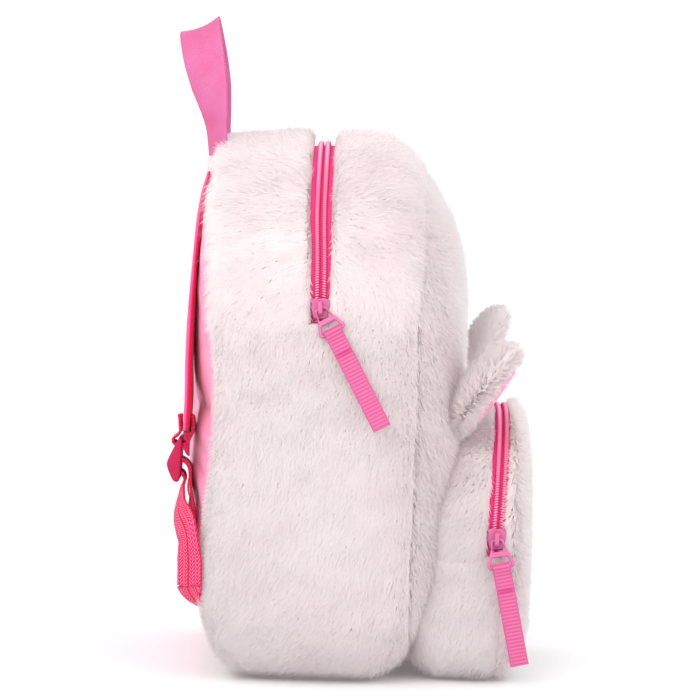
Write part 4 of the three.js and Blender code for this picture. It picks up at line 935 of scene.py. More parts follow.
class EarFrame:
    """An ear's axes: along it, out of its inner face, and across."""

    def __init__(self, side, forward, splay, turn):
        f, s, t = (math.radians(v) for v in (forward, splay, turn))
        self.along = np.array([side * math.sin(s), -math.sin(f) * math.cos(s), math.cos(f) * math.cos(s)])
        face = np.array([side * math.sin(t), -math.cos(t), 0])
        self.face = unit(face - self.along * np.dot(face, self.along))
        self.wide = np.cross(self.along, self.face)
        across = side * EAR_SEAT["across"] * POCKET["width"] / 2
        self.base = np.array([across, FRONT_Y + EAR_SEAT["behind"], POCKET["height"] - EAR_SEAT["below"]])

    def put(self, x, out, up):
        return self.base + x[..., None] * self.wide + out[..., None] * self.face + up[..., None] * self.along

    def surface(self, turn, share):
        """turn goes round the ear in radians, from its edge over its inner face; share goes up it."""
        width, thick = (column(EAR_SECTIONS, "along", name, share) for name in ("width", "thick"))
        out = np.sin(turn)
        depth = np.where(out > 0, EAR["front"], 1 - EAR["front"]) * EAR["thick"] * thick
        return self.put(np.cos(turn) * EAR["width"] * width / 2, out * depth, share * EAR["length"])

    def front(self, x, share):
        """How far the inner face stands out of the ear's middle."""
        width, thick = (column(EAR_SECTIONS, "along", name, share) for name in ("width", "thick"))
        aside = np.clip(x / (EAR["width"] * width / 2), -1, 1)
        return EAR["front"] * EAR["thick"] * thick * np.sqrt(1 - aside**2)


def dress_ear(name, settings, seed):
    ear = EarFrame(**settings)
    turns = np.linspace(0, 2 * math.pi, 61)
    start, stop = full(0.0, turns), full(0.995, turns)
    centre = ear.base + ear.along * EAR["length"] * 0.45
    patch = FurPatch(ear.surface, centre, turns, start, stop, 40, ("seam", "none", "none", "none"))
    patch.dip += EAR_GROUND - GROUND_DEPTH

    def bare_face(places):
        local = places - ear.base
        up = local @ ear.along / EAR["length"]
        out = local @ ear.face
        half = EAR["inner"] / 2 * column(EAR_SECTIONS, "along", "inner", up)
        return 1.0 - ((out > 0) & (np.abs(local @ ear.wide) < half - EAR_BARE))

    comb = lambda places: np.broadcast_to(ear.along * 0.9, places.shape)
    fur = fur_piece("fur_ear_" + name, patch, DENSITY["ear"], seed, ["ear_" + name], comb, bare_face,
                    **EAR_FUR)
    first, last = EAR_PAD["first"], EAR_PAD["last"]
    share, aside = np.meshgrid(np.linspace(first, last, 40), np.linspace(-1, 1, 25), indexing="ij")
    x = aside * EAR["inner"] / 2 * column(EAR_SECTIONS, "along", "inner", share)
    edge = np.minimum(1 - np.abs(aside), np.minimum(share - first, last - share) * EAR_PAD["steep"])
    crown = smooth(edge * EAR_PAD["round"])
    out = ear.front(x, share) - EAR_PAD["sunk"] + EAR_PAD["rise"] * crown
    points = ear.put(x, out, share * EAR["length"])
    mesh = new_mesh("satin_ear_" + name, points.reshape(-1, 3), grid_faces(*x.shape, flip=True), SATIN)
    add_piece(mesh, ["ear_inner_" + name])


# Back panel: padded satin, settled as cloth inside its sewn edge and closed by a fan in the middle
PANEL_BACKING = 2.5
PANEL_LOOPS = 160
WRINKLES = ((0.5, 16, 31), (0.22, 7, 32))  # an amount, its features' size in millimetres and a seed
SETTLE = {"pressure": 1.0, "growth": 0.02, "cap": 2.0}
CLOTH_FRAMES = 20


def settle(points, faces, held, pressure, growth, cap):
    """Simulates cloth pressed out by its padding. Held points stay, and none moves more than the cap."""
    holder = bpy.data.objects.new("cloth", new_mesh("cloth", points, faces, SATIN))
    bpy.context.scene.collection.objects.link(holder)
    group = holder.vertex_groups.new(name="held")
    group.add([int(k) for k in np.flatnonzero(held)], 1.0, "REPLACE")
    cloth = holder.modifiers.new("cloth", "CLOTH")
    cloth.settings.quality = 5
    cloth.settings.mass = 0.15
    cloth.settings.tension_stiffness = 15
    cloth.settings.compression_stiffness = 15
    cloth.settings.bending_stiffness = 0.2
    cloth.settings.vertex_group_mass = "held"
    cloth.settings.use_pressure = True
    cloth.settings.uniform_pressure_force = pressure
    cloth.settings.shrink_min = -growth
    cloth.settings.effector_weights.gravity = 0
    for frame_number in range(1, CLOTH_FRAMES + 1):
        bpy.context.scene.frame_set(frame_number)
    done = holder.evaluated_get(bpy.context.evaluated_depsgraph_get()).data
    settled = np.zeros(3 * len(points))
    done.vertices.foreach_get("co", settled)
    bpy.data.objects.remove(holder)
    bpy.context.scene.frame_set(1)
    moved_by = settled.reshape(-1, 3) / MM - points
    far = np.linalg.norm(moved_by, axis=-1, keepdims=True)
    return points + moved_by * np.minimum(1, cap / np.maximum(far, 1e-6))


def dress_panel():
    loops = np.linspace(0, 8, PANEL_LOOPS + 1)[:-1]
    fills = np.concatenate([np.linspace(1, 0.9, 7)[:-1], np.linspace(0.9, 0.02, 30)])
    loop, fill = np.meshgrid(loops, fills, indexing="ij")
    outer = panel_point(loop, fill)
    wrinkle = sum(amount * drift(outer, size, seed)[..., 1] for amount, size, seed in WRINKLES)
    near_edge = smooth((1 - fill) / 0.05) * (0.35 + 0.65 * smooth((fill - 0.4) / 0.5))
    outer[..., 1] += wrinkle * near_edge
    held = np.zeros(outer.shape[:2], bool)
    held[:, :2] = True
    faces = grid_faces(*loop.shape, ring=True)
    outer = settle(outer.reshape(-1, 3), faces, held.ravel(), **SETTLE).reshape(outer.shape)
    inner = outer[:, :1] - np.array([0, PANEL_BACKING, 0])
    points = np.concatenate([inner, outer], 1)
    cols = points.shape[1]
    centre = points[:, -1].mean(0)
    last = np.arange(PANEL_LOOPS) * cols + cols - 1
    cap = np.stack([last, np.roll(last, -1), full(PANEL_LOOPS * cols, last)], -1).astype(np.int32)
    corner = points[0, -1] - centre, points[1, -1] - centre
    if np.cross(*corner)[1] < 0:
        cap = cap[:, ::-1]
    faces = [grid_faces(PANEL_LOOPS, cols, ring=True), cap]
    mesh = new_mesh("satin_back", np.concatenate([points.reshape(-1, 3), centre[None]]), faces, SATIN)
    add_piece(mesh, ["back_panel"])


# Strips: webbing, ribbons and pads swept along smooth lines
def spline(places, at):
    """Centripetal Catmull-Rom through places, at stop numbers such as 2.5."""
    ends = np.vstack([2 * places[0] - places[1], places, 2 * places[-1] - places[-2]])
    k = np.minimum(at.astype(int), len(places) - 2)
    f = (at - k)[:, None]
    p0, p1, p2, p3 = (ends[k + j] for j in range(4))
    d0, d1, d2 = (np.sqrt(np.linalg.norm(b - a, axis=1))[:, None] for a, b in ((p0, p1), (p1, p2), (p2, p3)))
    m1 = ((p1 - p0) / d0 - (p2 - p0) / (d0 + d1) + (p2 - p1) / d1) * d1
    m2 = ((p2 - p1) / d1 - (p3 - p1) / (d1 + d2) + (p3 - p2) / d2) * d1
    return p1 + m1 * f + (3 * (p2 - p1) - 2 * m1 - m2) * f**2 + (2 * (p1 - p2) + m1 + m2) * f**3


def stop(at, wide, width, thick):
    return {"at": np.array(at, float), "wide": np.array(wide, float), "width": width, "thick": thick}


class Strip:
    """A strip's line, sampled evenly along its length, with the directions across it and out of its face."""

    def __init__(self, stops, pitch):
        places = np.array([s["at"] for s in stops])
        fine = np.linspace(0, len(stops) - 1, 30 * len(stops))
        far = np.concatenate(([0], np.cumsum(np.linalg.norm(np.diff(spline(places, fine), axis=0), axis=1))))
        self.length = far[-1]
        self.along = np.linspace(0, self.length, max(3, int(self.length / pitch) + 1))
        at = np.interp(self.along, far, fine)
        self.place = spline(places, at)
        tangent = unit(np.gradient(self.place, axis=0))
        k = np.minimum(at.astype(int), len(stops) - 2)
        f = at - k

        def mixed(key):
            values = np.array([s[key] for s in stops], float)
            g = f[:, None] if values.ndim > 1 else f
            return values[k] * (1 - g) + values[k + 1] * g

        wide = mixed("wide")
        self.across = unit(wide - tangent * dot(wide, tangent))
        self.out = np.cross(tangent, self.across)
        self.width, self.thick = mixed("width"), mixed("thick")
        self.bend = 0

    def mesh(self, name, section, material, relief=None):
        """section lists points across and out, in shares; relief gives what to add to the thickness."""
        u, v = section[:, 0], section[:, 1]
        across = u[None, :] * self.width[:, None]
        along = np.repeat(self.along[:, None], len(u), 1)
        share = np.repeat(v[None, :], len(along), 0)
        out = share * self.thick[:, None] + self.bend
        third = share + 0.5
        if relief is not None:
            lift, third = relief(across, along, share)
            out = out + lift * np.sign(share)
        points = (
            self.place[:, None]
            + across[..., None] * self.across[:, None]
            + out[..., None] * self.out[:, None]
        )
        rows, cols = across.shape
        faces = grid_faces(rows, cols)
        seam = np.stack([np.arange(rows - 1) * cols + cols - 1, np.arange(1, rows) * cols + cols - 1], -1)
        closing = np.concatenate([seam, seam[:, ::-1] - (cols - 1)], 1)
        caps = np.stack([np.arange(cols)[::-1], np.arange(cols) + (rows - 1) * cols])
        coords = np.stack([across, along, third], -1).reshape(-1, 3)
        return new_mesh(name, points.reshape(-1, 3), [faces, closing, caps], material, coords=coords)


def closed_section(across, height, corner):
    upper = np.stack([across, height], -1)
    left = np.array([[-0.5, corner], [-0.5, -corner]])
    return np.concatenate([upper, left, -upper, -left])


def flat_section(count, edge=0.03):
    """A flat strip's section with softly rounded edges."""
    return closed_section(np.linspace(0.5 - edge, -0.5 + edge, count), np.full(count, 0.5), 0.22)


def padded_section(count=17, crown=0.35):
    """A stuffed strip's section: crowned between flatter edges."""
    side = np.linspace(0.47, -0.47, count)
    return closed_section(side, 0.5 * (1 - crown * np.abs(side / 0.5) ** 3.0), 0.14)


def mix(a, b, t):
    return np.array(a, float) * (1 - t) + np.array(b, float) * t


def webbing_piece(name, node, stops, pitch):
    add_piece(Strip(stops, pitch).mesh(name, flat_section(9), HERRINGBONE), [node])


# Carry handle
HANDLE = {"width": 23.5, "thick": 1.8, "half": 24.0, "rise": 65.0, "lean": 12.5, "tilt": 24.0, "turn": 37.0}
HANDLE_BOW = 2.2  # how far the strap sags across its width at the top
HANDLE_FOOT = {"narrow": 0.72, "over": 0.5}
# One leg from its foot up, as shares: out to the side, up, back, and how far it has turned to the crest
HANDLE_LINE = [
    (1, -0.12, -0.05, 0), (1.02, 0.12, 0.08, 0.05), (1.16, 0.45, 0.42, 0.4), (1.12, 0.74, 0.75, 0.78),
    (0.66, 0.95, 0.97, 0.95),
]


def seam_top(x):
    share = abs(x) / (BODY["width"] / 2 * BODY_SECTIONS["width"][1])
    arch = (1 - share ** BODY["power"]) ** (1 / BODY["power"])
    shoulder = BODY["shoulder"] / BODY["height"]
    low, high = BODY_SECTIONS["low"][1], BODY_SECTIONS["high"][1]
    return BODY["height"] * (low + (shoulder + (1 - shoulder) * arch) * (high - low))


def dress_handle():
    base = seam_top(HANDLE["half"])
    y = float(back_at(base)) - 2
    turn, tilt = math.radians(HANDLE["turn"]), math.radians(HANDLE["tilt"])
    crest = (0, math.cos(tilt), -math.sin(tilt))

    def leg(side):
        foot = (-side * math.cos(turn), math.sin(turn), 0)
        stops = []
        for out, up, back, twist in HANDLE_LINE:
            at = (side * out * HANDLE["half"], y + back * HANDLE["lean"], base + up * HANDLE["rise"])
            narrow = 1 - HANDLE_FOOT["narrow"]
            share = HANDLE_FOOT["narrow"] + narrow * smooth(up / HANDLE_FOOT["over"])
            stops.append(stop(at, mix(foot, crest, twist), HANDLE["width"] * share, HANDLE["thick"]))
        return stops

    top = stop((0, y + HANDLE["lean"], base + HANDLE["rise"]), crest, HANDLE["width"], HANDLE["thick"])
    strip = Strip([*leg(-1), top, *leg(1)[::-1]], 1.8)
    middle = strip.length / 2
    upward = np.sign(strip.out[len(strip.out) // 2, 2])
    bow = HANDLE_BOW * np.exp(-(((strip.along - middle) / 22) ** 2))
    section = flat_section(13)
    strip.bend = -upward * bow[:, None] * (1 - (2 * section[:, 0]) ** 2)[None]
    add_piece(strip.mesh("webbing_handle", section, FLAT_WEAVE), ["handle"])


# Shoulder straps
WEBBING = {"width": 20.0, "thick": 1.6}
STRAP = {"top": 38.0, "end": 32.0, "thick": 4.2}
# Its line from the top: across, up, how far off the panel, how thick, and its slant
STRAP_PATH = [
    (0.313, 0.903, 0.095, 0.524, -0.4), (0.33, 0.873, 0.095, 0.762, -0.3), (0.383, 0.8, 0.095, 0.881, 0.1),
    (0.47, 0.7, 0.119, 0.881, 0.3), (0.574, 0.58, 0.381, 0.952, 0.28), (0.639, 0.493, 0.714, 1, 0.08),
    (0.657, 0.443, 0.81, 1, 0.02),
]
STRAP_TAB = {"across": 0.9, "up": 0.174, "behind": 4.8}
BUCKLE = {"width": 27.0, "length": 24.0, "depth": 8.2, "inner": -1.6, "top": 12.4, "slots": (8.0, 0.0, -6.3),
          "slot_half": 1.7, "bar": 3.6, "down": 15.0, "out": 1.2}


def strap_stops(side):
    stops = []
    backs = []
    for k, (across, up, off, thick, slant) in enumerate(STRAP_PATH):
        x, z = across * BODY["width"] / 2, up * BODY["height"]
        width = STRAP["top"] + (STRAP["end"] - STRAP["top"]) * k / (len(STRAP_PATH) - 1)
        back = max(panel_at(x + aside, z) for aside in (-width / 2, -width / 4, 0)) + off * STRAP["thick"]
        thickness = thick * STRAP["thick"]
        stops.append(stop((side * x, back + thickness / 2, z), (1, 0, side * slant), width, thickness))
        backs.append(back)
    return stops, backs[-1]


def dress_straps(name, side):
    stops, inner = strap_stops(side)
    end = stops[-1]["at"]
    outer = inner + STRAP["thick"]
    strip = Strip(stops, 2.0)
    facing = np.sign(strip.out[len(strip.out) // 2, 1])

    def puff(across, along, share):
        swell = drift(np.stack([across, along, share * 30], -1), 14, 40 + side)[..., 0]
        inside = smooth((0.47 - np.abs(across) / strip.width[:, None]) / 0.1)
        return 0.25 * swell * inside, np.clip(share * facing + 0.5, 0, 1)

    pad = add_piece(strip.mesh("strap_pad_fabric_" + name, padded_section(), PAD_FABRIC, puff),
                    ["strap_pad_" + name])
    buckle = np.array([side * (abs(end[0]) + 0.8), outer + BUCKLE["out"], end[2] - BUCKLE["down"]])
    dress_buckle_loop(name, side, end, inner, outer, buckle)
    dress_buckle(name, buckle)
    dress_webbing(name, side, buckle)


def dress_buckle_loop(name, side, end, inner, outer, buckle):
    t = WEBBING["thick"]
    out, low = outer + CLEAR + t / 2, inner - CLEAR - t / 2
    slot = buckle[2] + BUCKLE["slots"][0]
    x, bx = abs(end[0]), abs(buckle[0])
    rows = [
        (x - 1, out + 0.4, end[2] + 9.5, 2.2), (x - 0.8, out + 0.2, end[2] + 6, t),
        (x, out + 0.3, end[2], t), (bx, buckle[1] + 3.6, slot + 2.6, t), (bx, buckle[1] + 0.6, slot, t),
        (bx, buckle[1] - 3.4, slot + 1.2, t), (x, low - 0.5, end[2] + 1, t),
        (x - 1.2, low - 0.1, end[2] + 9, t),
    ]
    stops = [stop((side * a, b, c), (1, 0, 0), WEBBING["width"], d) for a, b, c, d in rows]
    webbing_piece("buckle_loop_" + name, "strap_loop_" + name, stops, 1.0)


def dress_webbing(name, side, buckle):
    bx, by, bz = abs(buckle[0]), buckle[1], buckle[2]
    t = WEBBING["thick"]
    face = by + BUCKLE["bar"] + CLEAR + t / 2
    corner = (0.74, -side * 0.67, 0)
    _, middle, low = BUCKLE["slots"]
    tab = np.array([STRAP_TAB["across"] * BODY["width"] / 2, BACK_Y + STRAP_TAB["behind"],
                    STRAP_TAB["up"] * BODY["height"]])
    rise = bz - BUCKLE["length"] - 3 - tab[2]
    rows = [
        (tab[0] - 0.2, tab[1] - 0.4, tab[2] - 0.8, 1, t), (tab[0], tab[1], tab[2] + 0.38 * rise, 1, t),
        (tab[0] - 2.6, tab[1] + 1.5, tab[2] + 0.72 * rise, 0.7, t),
        (bx + 8, by - 1.2, tab[2] + rise, 0.4, t),
        (bx + 1.5, by - 1.8, bz - 16, 0.1, t), (bx, by - 3.2, bz - 10, 0, t),
        (bx, by - 1.6, bz + low - 0.5, 0, t), (bx, face - 0.6, bz + low + 0.1, 0, t),
        (bx, face, bz + (low + middle) / 2, 0, t), (bx, face - 0.6, bz + middle - 0.1, 0, t),
        (bx, by - 1.4, bz + middle + 0.4, 0, t), (bx, by - 5.4, bz + middle - 3, 0, t),
        (bx + 0.5, by - 6.4, bz - 12, 0, t), (bx + 3, by - 7, bz - 24, 0.2, t),
        (bx + 7, by - 6.4, bz - 33, 0.4, 2.2), (bx + 9, by - 6.3, bz - 39, 0.5, 4),
    ]
    stops = [stop((side * a, b, c), mix((1, 0, 0), corner, turned), WEBBING["width"], d)
             for a, b, c, turned, d in rows]
    webbing_piece("adjusting_webbing_" + name, "strap_webbing_" + name, stops, 1.2)
    rows = [
        (tab[0], tab[1], tab[2], 1, 2.6), (tab[0] - 0.6, tab[1] - 1.9, tab[2] - 3.8, 0.85, 3),
        (tab[0] - 1, tab[1] - 4.7, tab[2] - 7.8, 0.6, 2.2),
        (tab[0] - 2, tab[1] - 7.5, tab[2] - 10.5, 0.5, 1.6),
    ]
    stops = [stop((side * a, b, c), corner, WEBBING["width"] * w, d) for a, b, c, w, d in rows]
    webbing_piece("seam_tab_" + name, "strap_tab_" + name, stops, 1.0)


# Plates and prisms with rounded edges
def rounded(corners, radius, steps=4):
    """A polygon's corners turned into short curves."""
    corners = np.array(corners, float)
    points = []
    for k in range(len(corners)):
        here, before, after = corners[k], corners[k - 1], corners[(k + 1) % len(corners)]
        reach_a = min(radius, 0.45 * np.linalg.norm(before - here))
        reach_b = min(radius, 0.45 * np.linalg.norm(after - here))
        a = here + unit(before - here) * reach_a
        b = here + unit(after - here) * reach_b
        for t in np.linspace(0, 1, steps + 1):
            points.append(a * (1 - t) ** 2 + 2 * here * t * (1 - t) + b * t**2)
    return np.array(points)


def plate(outline_points, low, high, bevel, holes=()):
    """Points and triangles of a plate between two heights, with rounded rims."""
    curve = bpy.data.curves.new("plate", "CURVE")
    curve.dimensions = "2D"
    curve.fill_mode = "BOTH"
    curve.extrude = (high - low) / 2 - bevel
    curve.bevel_depth = bevel
    curve.bevel_resolution = 2
    curve.offset = -bevel
    for corners in (outline_points, *holes):
        line = curve.splines.new("POLY")
        line.points.add(len(corners) - 1)
        line.use_cyclic_u = True
        for point, corner in zip(line.points, corners):
            point.co = (corner[0], corner[1], 0, 1)
    holder = bpy.data.objects.new("plate", curve)
    mesh = bpy.data.meshes.new_from_object(holder)
    mesh.calc_loop_triangles()
    points = np.zeros(3 * len(mesh.vertices))
    mesh.vertices.foreach_get("co", points)
    triangles = np.zeros(3 * len(mesh.loop_triangles), np.int32)
    mesh.loop_triangles.foreach_get("vertices", triangles)
    bpy.data.objects.remove(holder)
    bpy.data.curves.remove(curve)
    bpy.data.meshes.remove(mesh)
    return points.reshape(-1, 3) + np.array([0, 0, (low + high) / 2]), triangles.reshape(-1, 3)


def moved(shape, matrix):
    points, triangles = shape
    return points @ matrix[:3, :3].T + matrix[:3, 3], triangles


def joined(shapes):
    points, triangles, base = [], [], 0
    for p, t in shapes:
        points.append(p)
        triangles.append(t + base)
        base += len(p)
    return np.concatenate(points), np.concatenate(triangles)


def rotation(axis, degrees):
    return np.array(Matrix.Rotation(math.radians(degrees), 4, axis))


def shift(x, y, z):
    return np.array(Matrix.Translation((x, y, z)))


# Turns a plate's x, y and thickness to the bag's y, z and x
UPRIGHT = np.array([[0, 0, 1, 0], [1, 0, 0, 0], [0, 1, 0, 0], [0, 0, 0, 1]], float)


def soft_edges(mesh, degrees=40):
    mesh.set_sharp_from_angle(angle=math.radians(degrees))
    return mesh


# The buckle's side view from its top, as shares of its depth and length
BUCKLE_PROFILE = [
    (0, 0), (0.244, 0), (0.463, 0.163), (0.78, 0.392), (1, 0.567), (0.878, 0.725), (0.561, 0.958),
    (0.341, 1), (0.098, 0.975), (0.049, 0.683), (0.024, 0.35),
]
CUT = 20  # further out than any part of the buckle


def carve(mesh, boxes):
    """Cuts boxes, each a low and a high corner in millimetres, out of a closed mesh."""
    holder = bpy.data.objects.new("carved", mesh)
    bpy.context.scene.collection.objects.link(holder)
    for low, high in boxes:
        corners = [(low[0], low[1]), (high[0], low[1]), (high[0], high[1]), (low[0], high[1])]
        shape = plate(rounded(corners, 0.5), low[2], high[2], 0.3)
        cutter = bpy.data.objects.new("cutter", new_mesh("cutter", *shape, PLASTIC))
        bpy.context.scene.collection.objects.link(cutter)
        modifier = holder.modifiers.new("cut", "BOOLEAN")
        modifier.object = cutter
        modifier.solver = "EXACT"
        done = bpy.data.meshes.new_from_object(holder.evaluated_get(bpy.context.evaluated_depsgraph_get()))
        holder.modifiers.clear()
        holder.data = done
        bpy.data.objects.remove(cutter)
    result = holder.data
    bpy.data.objects.remove(holder)
    return result


def dress_buckle(name, at):
    corners = [(BUCKLE["inner"] + out * BUCKLE["depth"], BUCKLE["top"] - down * BUCKLE["length"])
               for out, down in BUCKLE_PROFILE]
    half = BUCKLE["width"] / 2
    shape = moved(plate(rounded(corners, 2.2), -half, half, 1.1), UPRIGHT)
    mesh = new_mesh("buckle_body", *shape, PLASTIC)
    wide = WEBBING["width"] / 2 + 0.8
    slot = BUCKLE["slot_half"]
    slots = [((-wide, -CUT, z - slot), (wide, CUT, z + slot)) for z in BUCKLE["slots"]]
    slots.append(((-wide, BUCKLE["bar"], BUCKLE["slots"][2]), (wide, CUT, BUCKLE["slots"][1])))
    mesh = carve(mesh, slots)
    mesh.transform(Matrix.Translation(Vector(at) * MM))
    mesh.name = "buckle_" + name
    mesh.polygons.foreach_set("use_smooth", np.ones(len(mesh.polygons), bool))
    add_piece(soft_edges(mesh, 35), ["strap_buckle_" + name])


# Zips: a woven tape, two rows of nylon coils, a slider, its pull and a ribbon
SLIDER = {"length": 11.0, "plate": 1.8, "skirt": 0.9, "gap": 2.6, "bar": 1.5, "half": 1.2}
PULL = {"length": 16.0, "top": 3.4, "low": 7.8, "thick": 1.5, "rim": 1.5}
RIBBON = {"width": 10.0, "layer": 1.1, "bar": 1.15, "pitch": 1.95}
COIL = {"pitch": 1.4, "wire": 0.46, "inner": 0.3, "outer": 3.6, "slant": 0.3, "arc": 7, "ring": 4}
TAPE_THICK = 1.0
# How a pull swings on its slider and its ribbon hangs from it, in degrees, and the ribbon's length
MAIN_PULL = {"swing": 28, "hang": -1, "length": 58}
POCKET_PULL = {"swing": 12, "hang": 1.5, "length": 54}
STITCH = {"below": 13, "width": 1.4}  # the seam across a ribbon, under its pull


def zip_line(surface, centre, loops, depth, share, offset, asides):
    """Points beside the middle of a zip, at an offset into the bag, and the outward normals."""
    loop, aside = np.meshgrid(loops, asides, indexing="ij")
    at = np.repeat(depth[:, None], len(asides), 1) + aside * share[:, None]
    normal = normals_of(surface, loop, at, centre)
    return surface(loop, at) - normal * offset, normal


def dress_zip(name, surface, centre, first, depth_of, share_of, wall):
    loops = np.linspace(first, 8 - first, 260)
    depth, share = depth_of(loops), share_of(loops)
    asides = np.linspace(-ZIP["tape"], ZIP["tape"], 9)
    points, _ = zip_line(surface, centre, loops, depth, share, wall + 1.5 * CLEAR, asides)
    under, _ = zip_line(surface, centre, loops, depth, share, wall + 1.5 * CLEAR + TAPE_THICK, asides)
    along = np.concatenate(([0], np.cumsum(np.linalg.norm(np.diff(points[:, 4], axis=0), axis=1))))
    closed = np.concatenate([points, under[:, ::-1]], 1)
    rows, cols = closed.shape[:2]
    coords = np.stack([np.tile(np.concatenate([asides, asides[::-1]]), (rows, 1)),
                       np.repeat(along[:, None], cols, 1), np.zeros((rows, cols))], -1)
    mesh = new_mesh(name + "_zip_cloth", closed.reshape(-1, 3), grid_faces(rows, cols), TAPE,
                    coords=coords.reshape(-1, 3))
    add_piece(mesh, [name + "_zip_tape"])

    # One nylon turn stands on each side of the middle for each pitch
    count = int(along[-1] / COIL["pitch"])
    at = np.interp((np.arange(count) + 0.5) * COIL["pitch"], along, loops)
    near = np.array([-0.5, 0, 0.5])
    middle, normal = zip_line(surface, centre, at, depth_of(at), share_of(at), wall, near)
    onward = unit(np.gradient(middle[:, 1], axis=0))
    aside = unit(middle[:, 2] - middle[:, 0])
    out = normal[:, 1]
    arc = np.linspace(-0.25, math.pi + 0.25, COIL["arc"])
    ring = np.linspace(0, 2 * math.pi, COIL["ring"] + 1)[:-1]
    shapes, heights = [], []
    reach = (COIL["outer"] - COIL["inner"]) / 2
    for sign, step in ((1, 0.0), (-1, 0.5)):
        path_aside = sign * (COIL["inner"] + reach - (reach - COIL["wire"]) * np.cos(arc))
        path_out = 0.35 + (ZIP["height"] - COIL["wire"] - 0.35) * np.sin(arc)
        path_on = COIL["pitch"] * step + COIL["slant"] * np.cos(arc)
        tangent = unit(np.stack([np.gradient(path_aside), np.gradient(path_out)], -1))
        side_a, side_o = -tangent[:, 1], tangent[:, 0]
        local_a = path_aside[:, None] + COIL["wire"] * np.cos(ring) * side_a[:, None]
        local_o = path_out[:, None] + COIL["wire"] * np.cos(ring) * side_o[:, None]
        local_n = path_on[:, None] + COIL["wire"] * np.sin(ring)
        block = (
            middle[:, 1][:, None, None]
            + local_a[..., None] * aside[:, None, None]
            + local_o[..., None] * out[:, None, None]
            + local_n[..., None] * onward[:, None, None]
        )
        shapes.append(block.reshape(-1, 3))
        heights.append(np.tile((local_o / ZIP["height"]).ravel(), count))
    corners = COIL["arc"] * COIL["ring"]
    order = np.arange(corners).reshape(COIL["arc"], COIL["ring"]).T.ravel()
    one = order[grid_faces(COIL["ring"], COIL["arc"], ring=True)]
    copies = np.arange(2 * count)[:, None, None] * corners
    faces = (one[None] + copies).reshape(-1, 4)
    height = np.concatenate(heights)
    coords = np.stack([0 * height, 0 * height, height], -1)
    mesh = new_mesh(name + "_zip_coils", np.concatenate(shapes), faces, NYLON, coords=coords)
    add_piece(mesh, [name + "_zip_chain"])


def zip_frame(surface, centre, loop, depth, lift):
    at = lambda l: surface(np.array([l]), np.array([depth]))[0]
    z = normals_of(surface, np.array([loop]), np.array([depth]), centre)[0]
    y = unit(at(loop + 0.01) - at(loop - 0.01))
    x = unit(np.cross(y, z))
    y = np.cross(z, x)
    matrix = np.eye(4)
    matrix[:3, 0], matrix[:3, 1], matrix[:3, 2], matrix[:3, 3] = x, y, z, at(loop) + z * lift
    return matrix


def slider_shape():
    """The slider in its own axes: x across the zip, y up along it and z out of the bag."""
    inside = ZIP["chain"] + 1.6 * CLEAR
    half = inside + SLIDER["skirt"]
    top = ZIP["height"] + 2.4 * CLEAR
    long = SLIDER["length"] / 2
    waist = [(-half, long), (half, long), (half, -0.1 * long), (0.72 * half, -long), (-0.72 * half, -long),
             (-half, -0.1 * long)]
    cover = plate(rounded(waist, 1.6)[::-1], top - 0.3, top + SLIDER["plate"], 0.5)
    walls = []
    for side in (-1, 1):
        wall = [(side * inside, long - 0.4), (side * half, long - 0.4), (side * half, -0.1 * long),
                (side * 0.74 * half, -long + 0.4), (side * (0.74 * half - 0.9), -long + 0.4),
                (side * inside, -0.1 * long)]
        walls.append(plate(rounded(wall, 0.3), CLEAR, top, 0.25))
    gap, bar = SLIDER["gap"], SLIDER["bar"]
    crown = [(-0.86 * long, 0), (-0.55 * long, 0), (-0.42 * long, gap), (0.42 * long, gap), (0.55 * long, 0),
             (0.86 * long, 0), (0.6 * long, gap + bar), (-0.6 * long, gap + bar)]
    upright = shift(0, 0, top + SLIDER["plate"] - 0.3) @ UPRIGHT
    bridge = moved(plate(rounded(crown, 0.9), -SLIDER["half"], SLIDER["half"], 0.45), upright)
    return joined([cover, *walls, bridge])


def pull_shape():
    """The pull hangs along -y from the bar under the slider's bridge."""
    rim, top, low, long = PULL["rim"], PULL["top"], PULL["low"], PULL["length"]
    edge = [(-top, rim / 2), (top, rim / 2), (top + 0.4, -4), (low, -long + 2), (low - 1, -long),
            (-low + 1, -long), (-low, -long + 2), (-top - 0.4, -4)]
    eye = [(-top + 0.75 * rim, -rim / 2), (top - 0.75 * rim, -rim / 2), (top + 0.2, -6.4),
           (-top - 0.2, -6.4)]
    window = [(-top - 0.9, -9.6), (top + 0.9, -9.6), (low - rim - 0.6, -long + rim),
              (-low + rim + 0.6, -long + rim)]
    return plate(rounded(edge, 1.4), -PULL["thick"] / 2, PULL["thick"] / 2, 0.45,
                 [rounded(eye, 0.7), rounded(window, 0.7)])


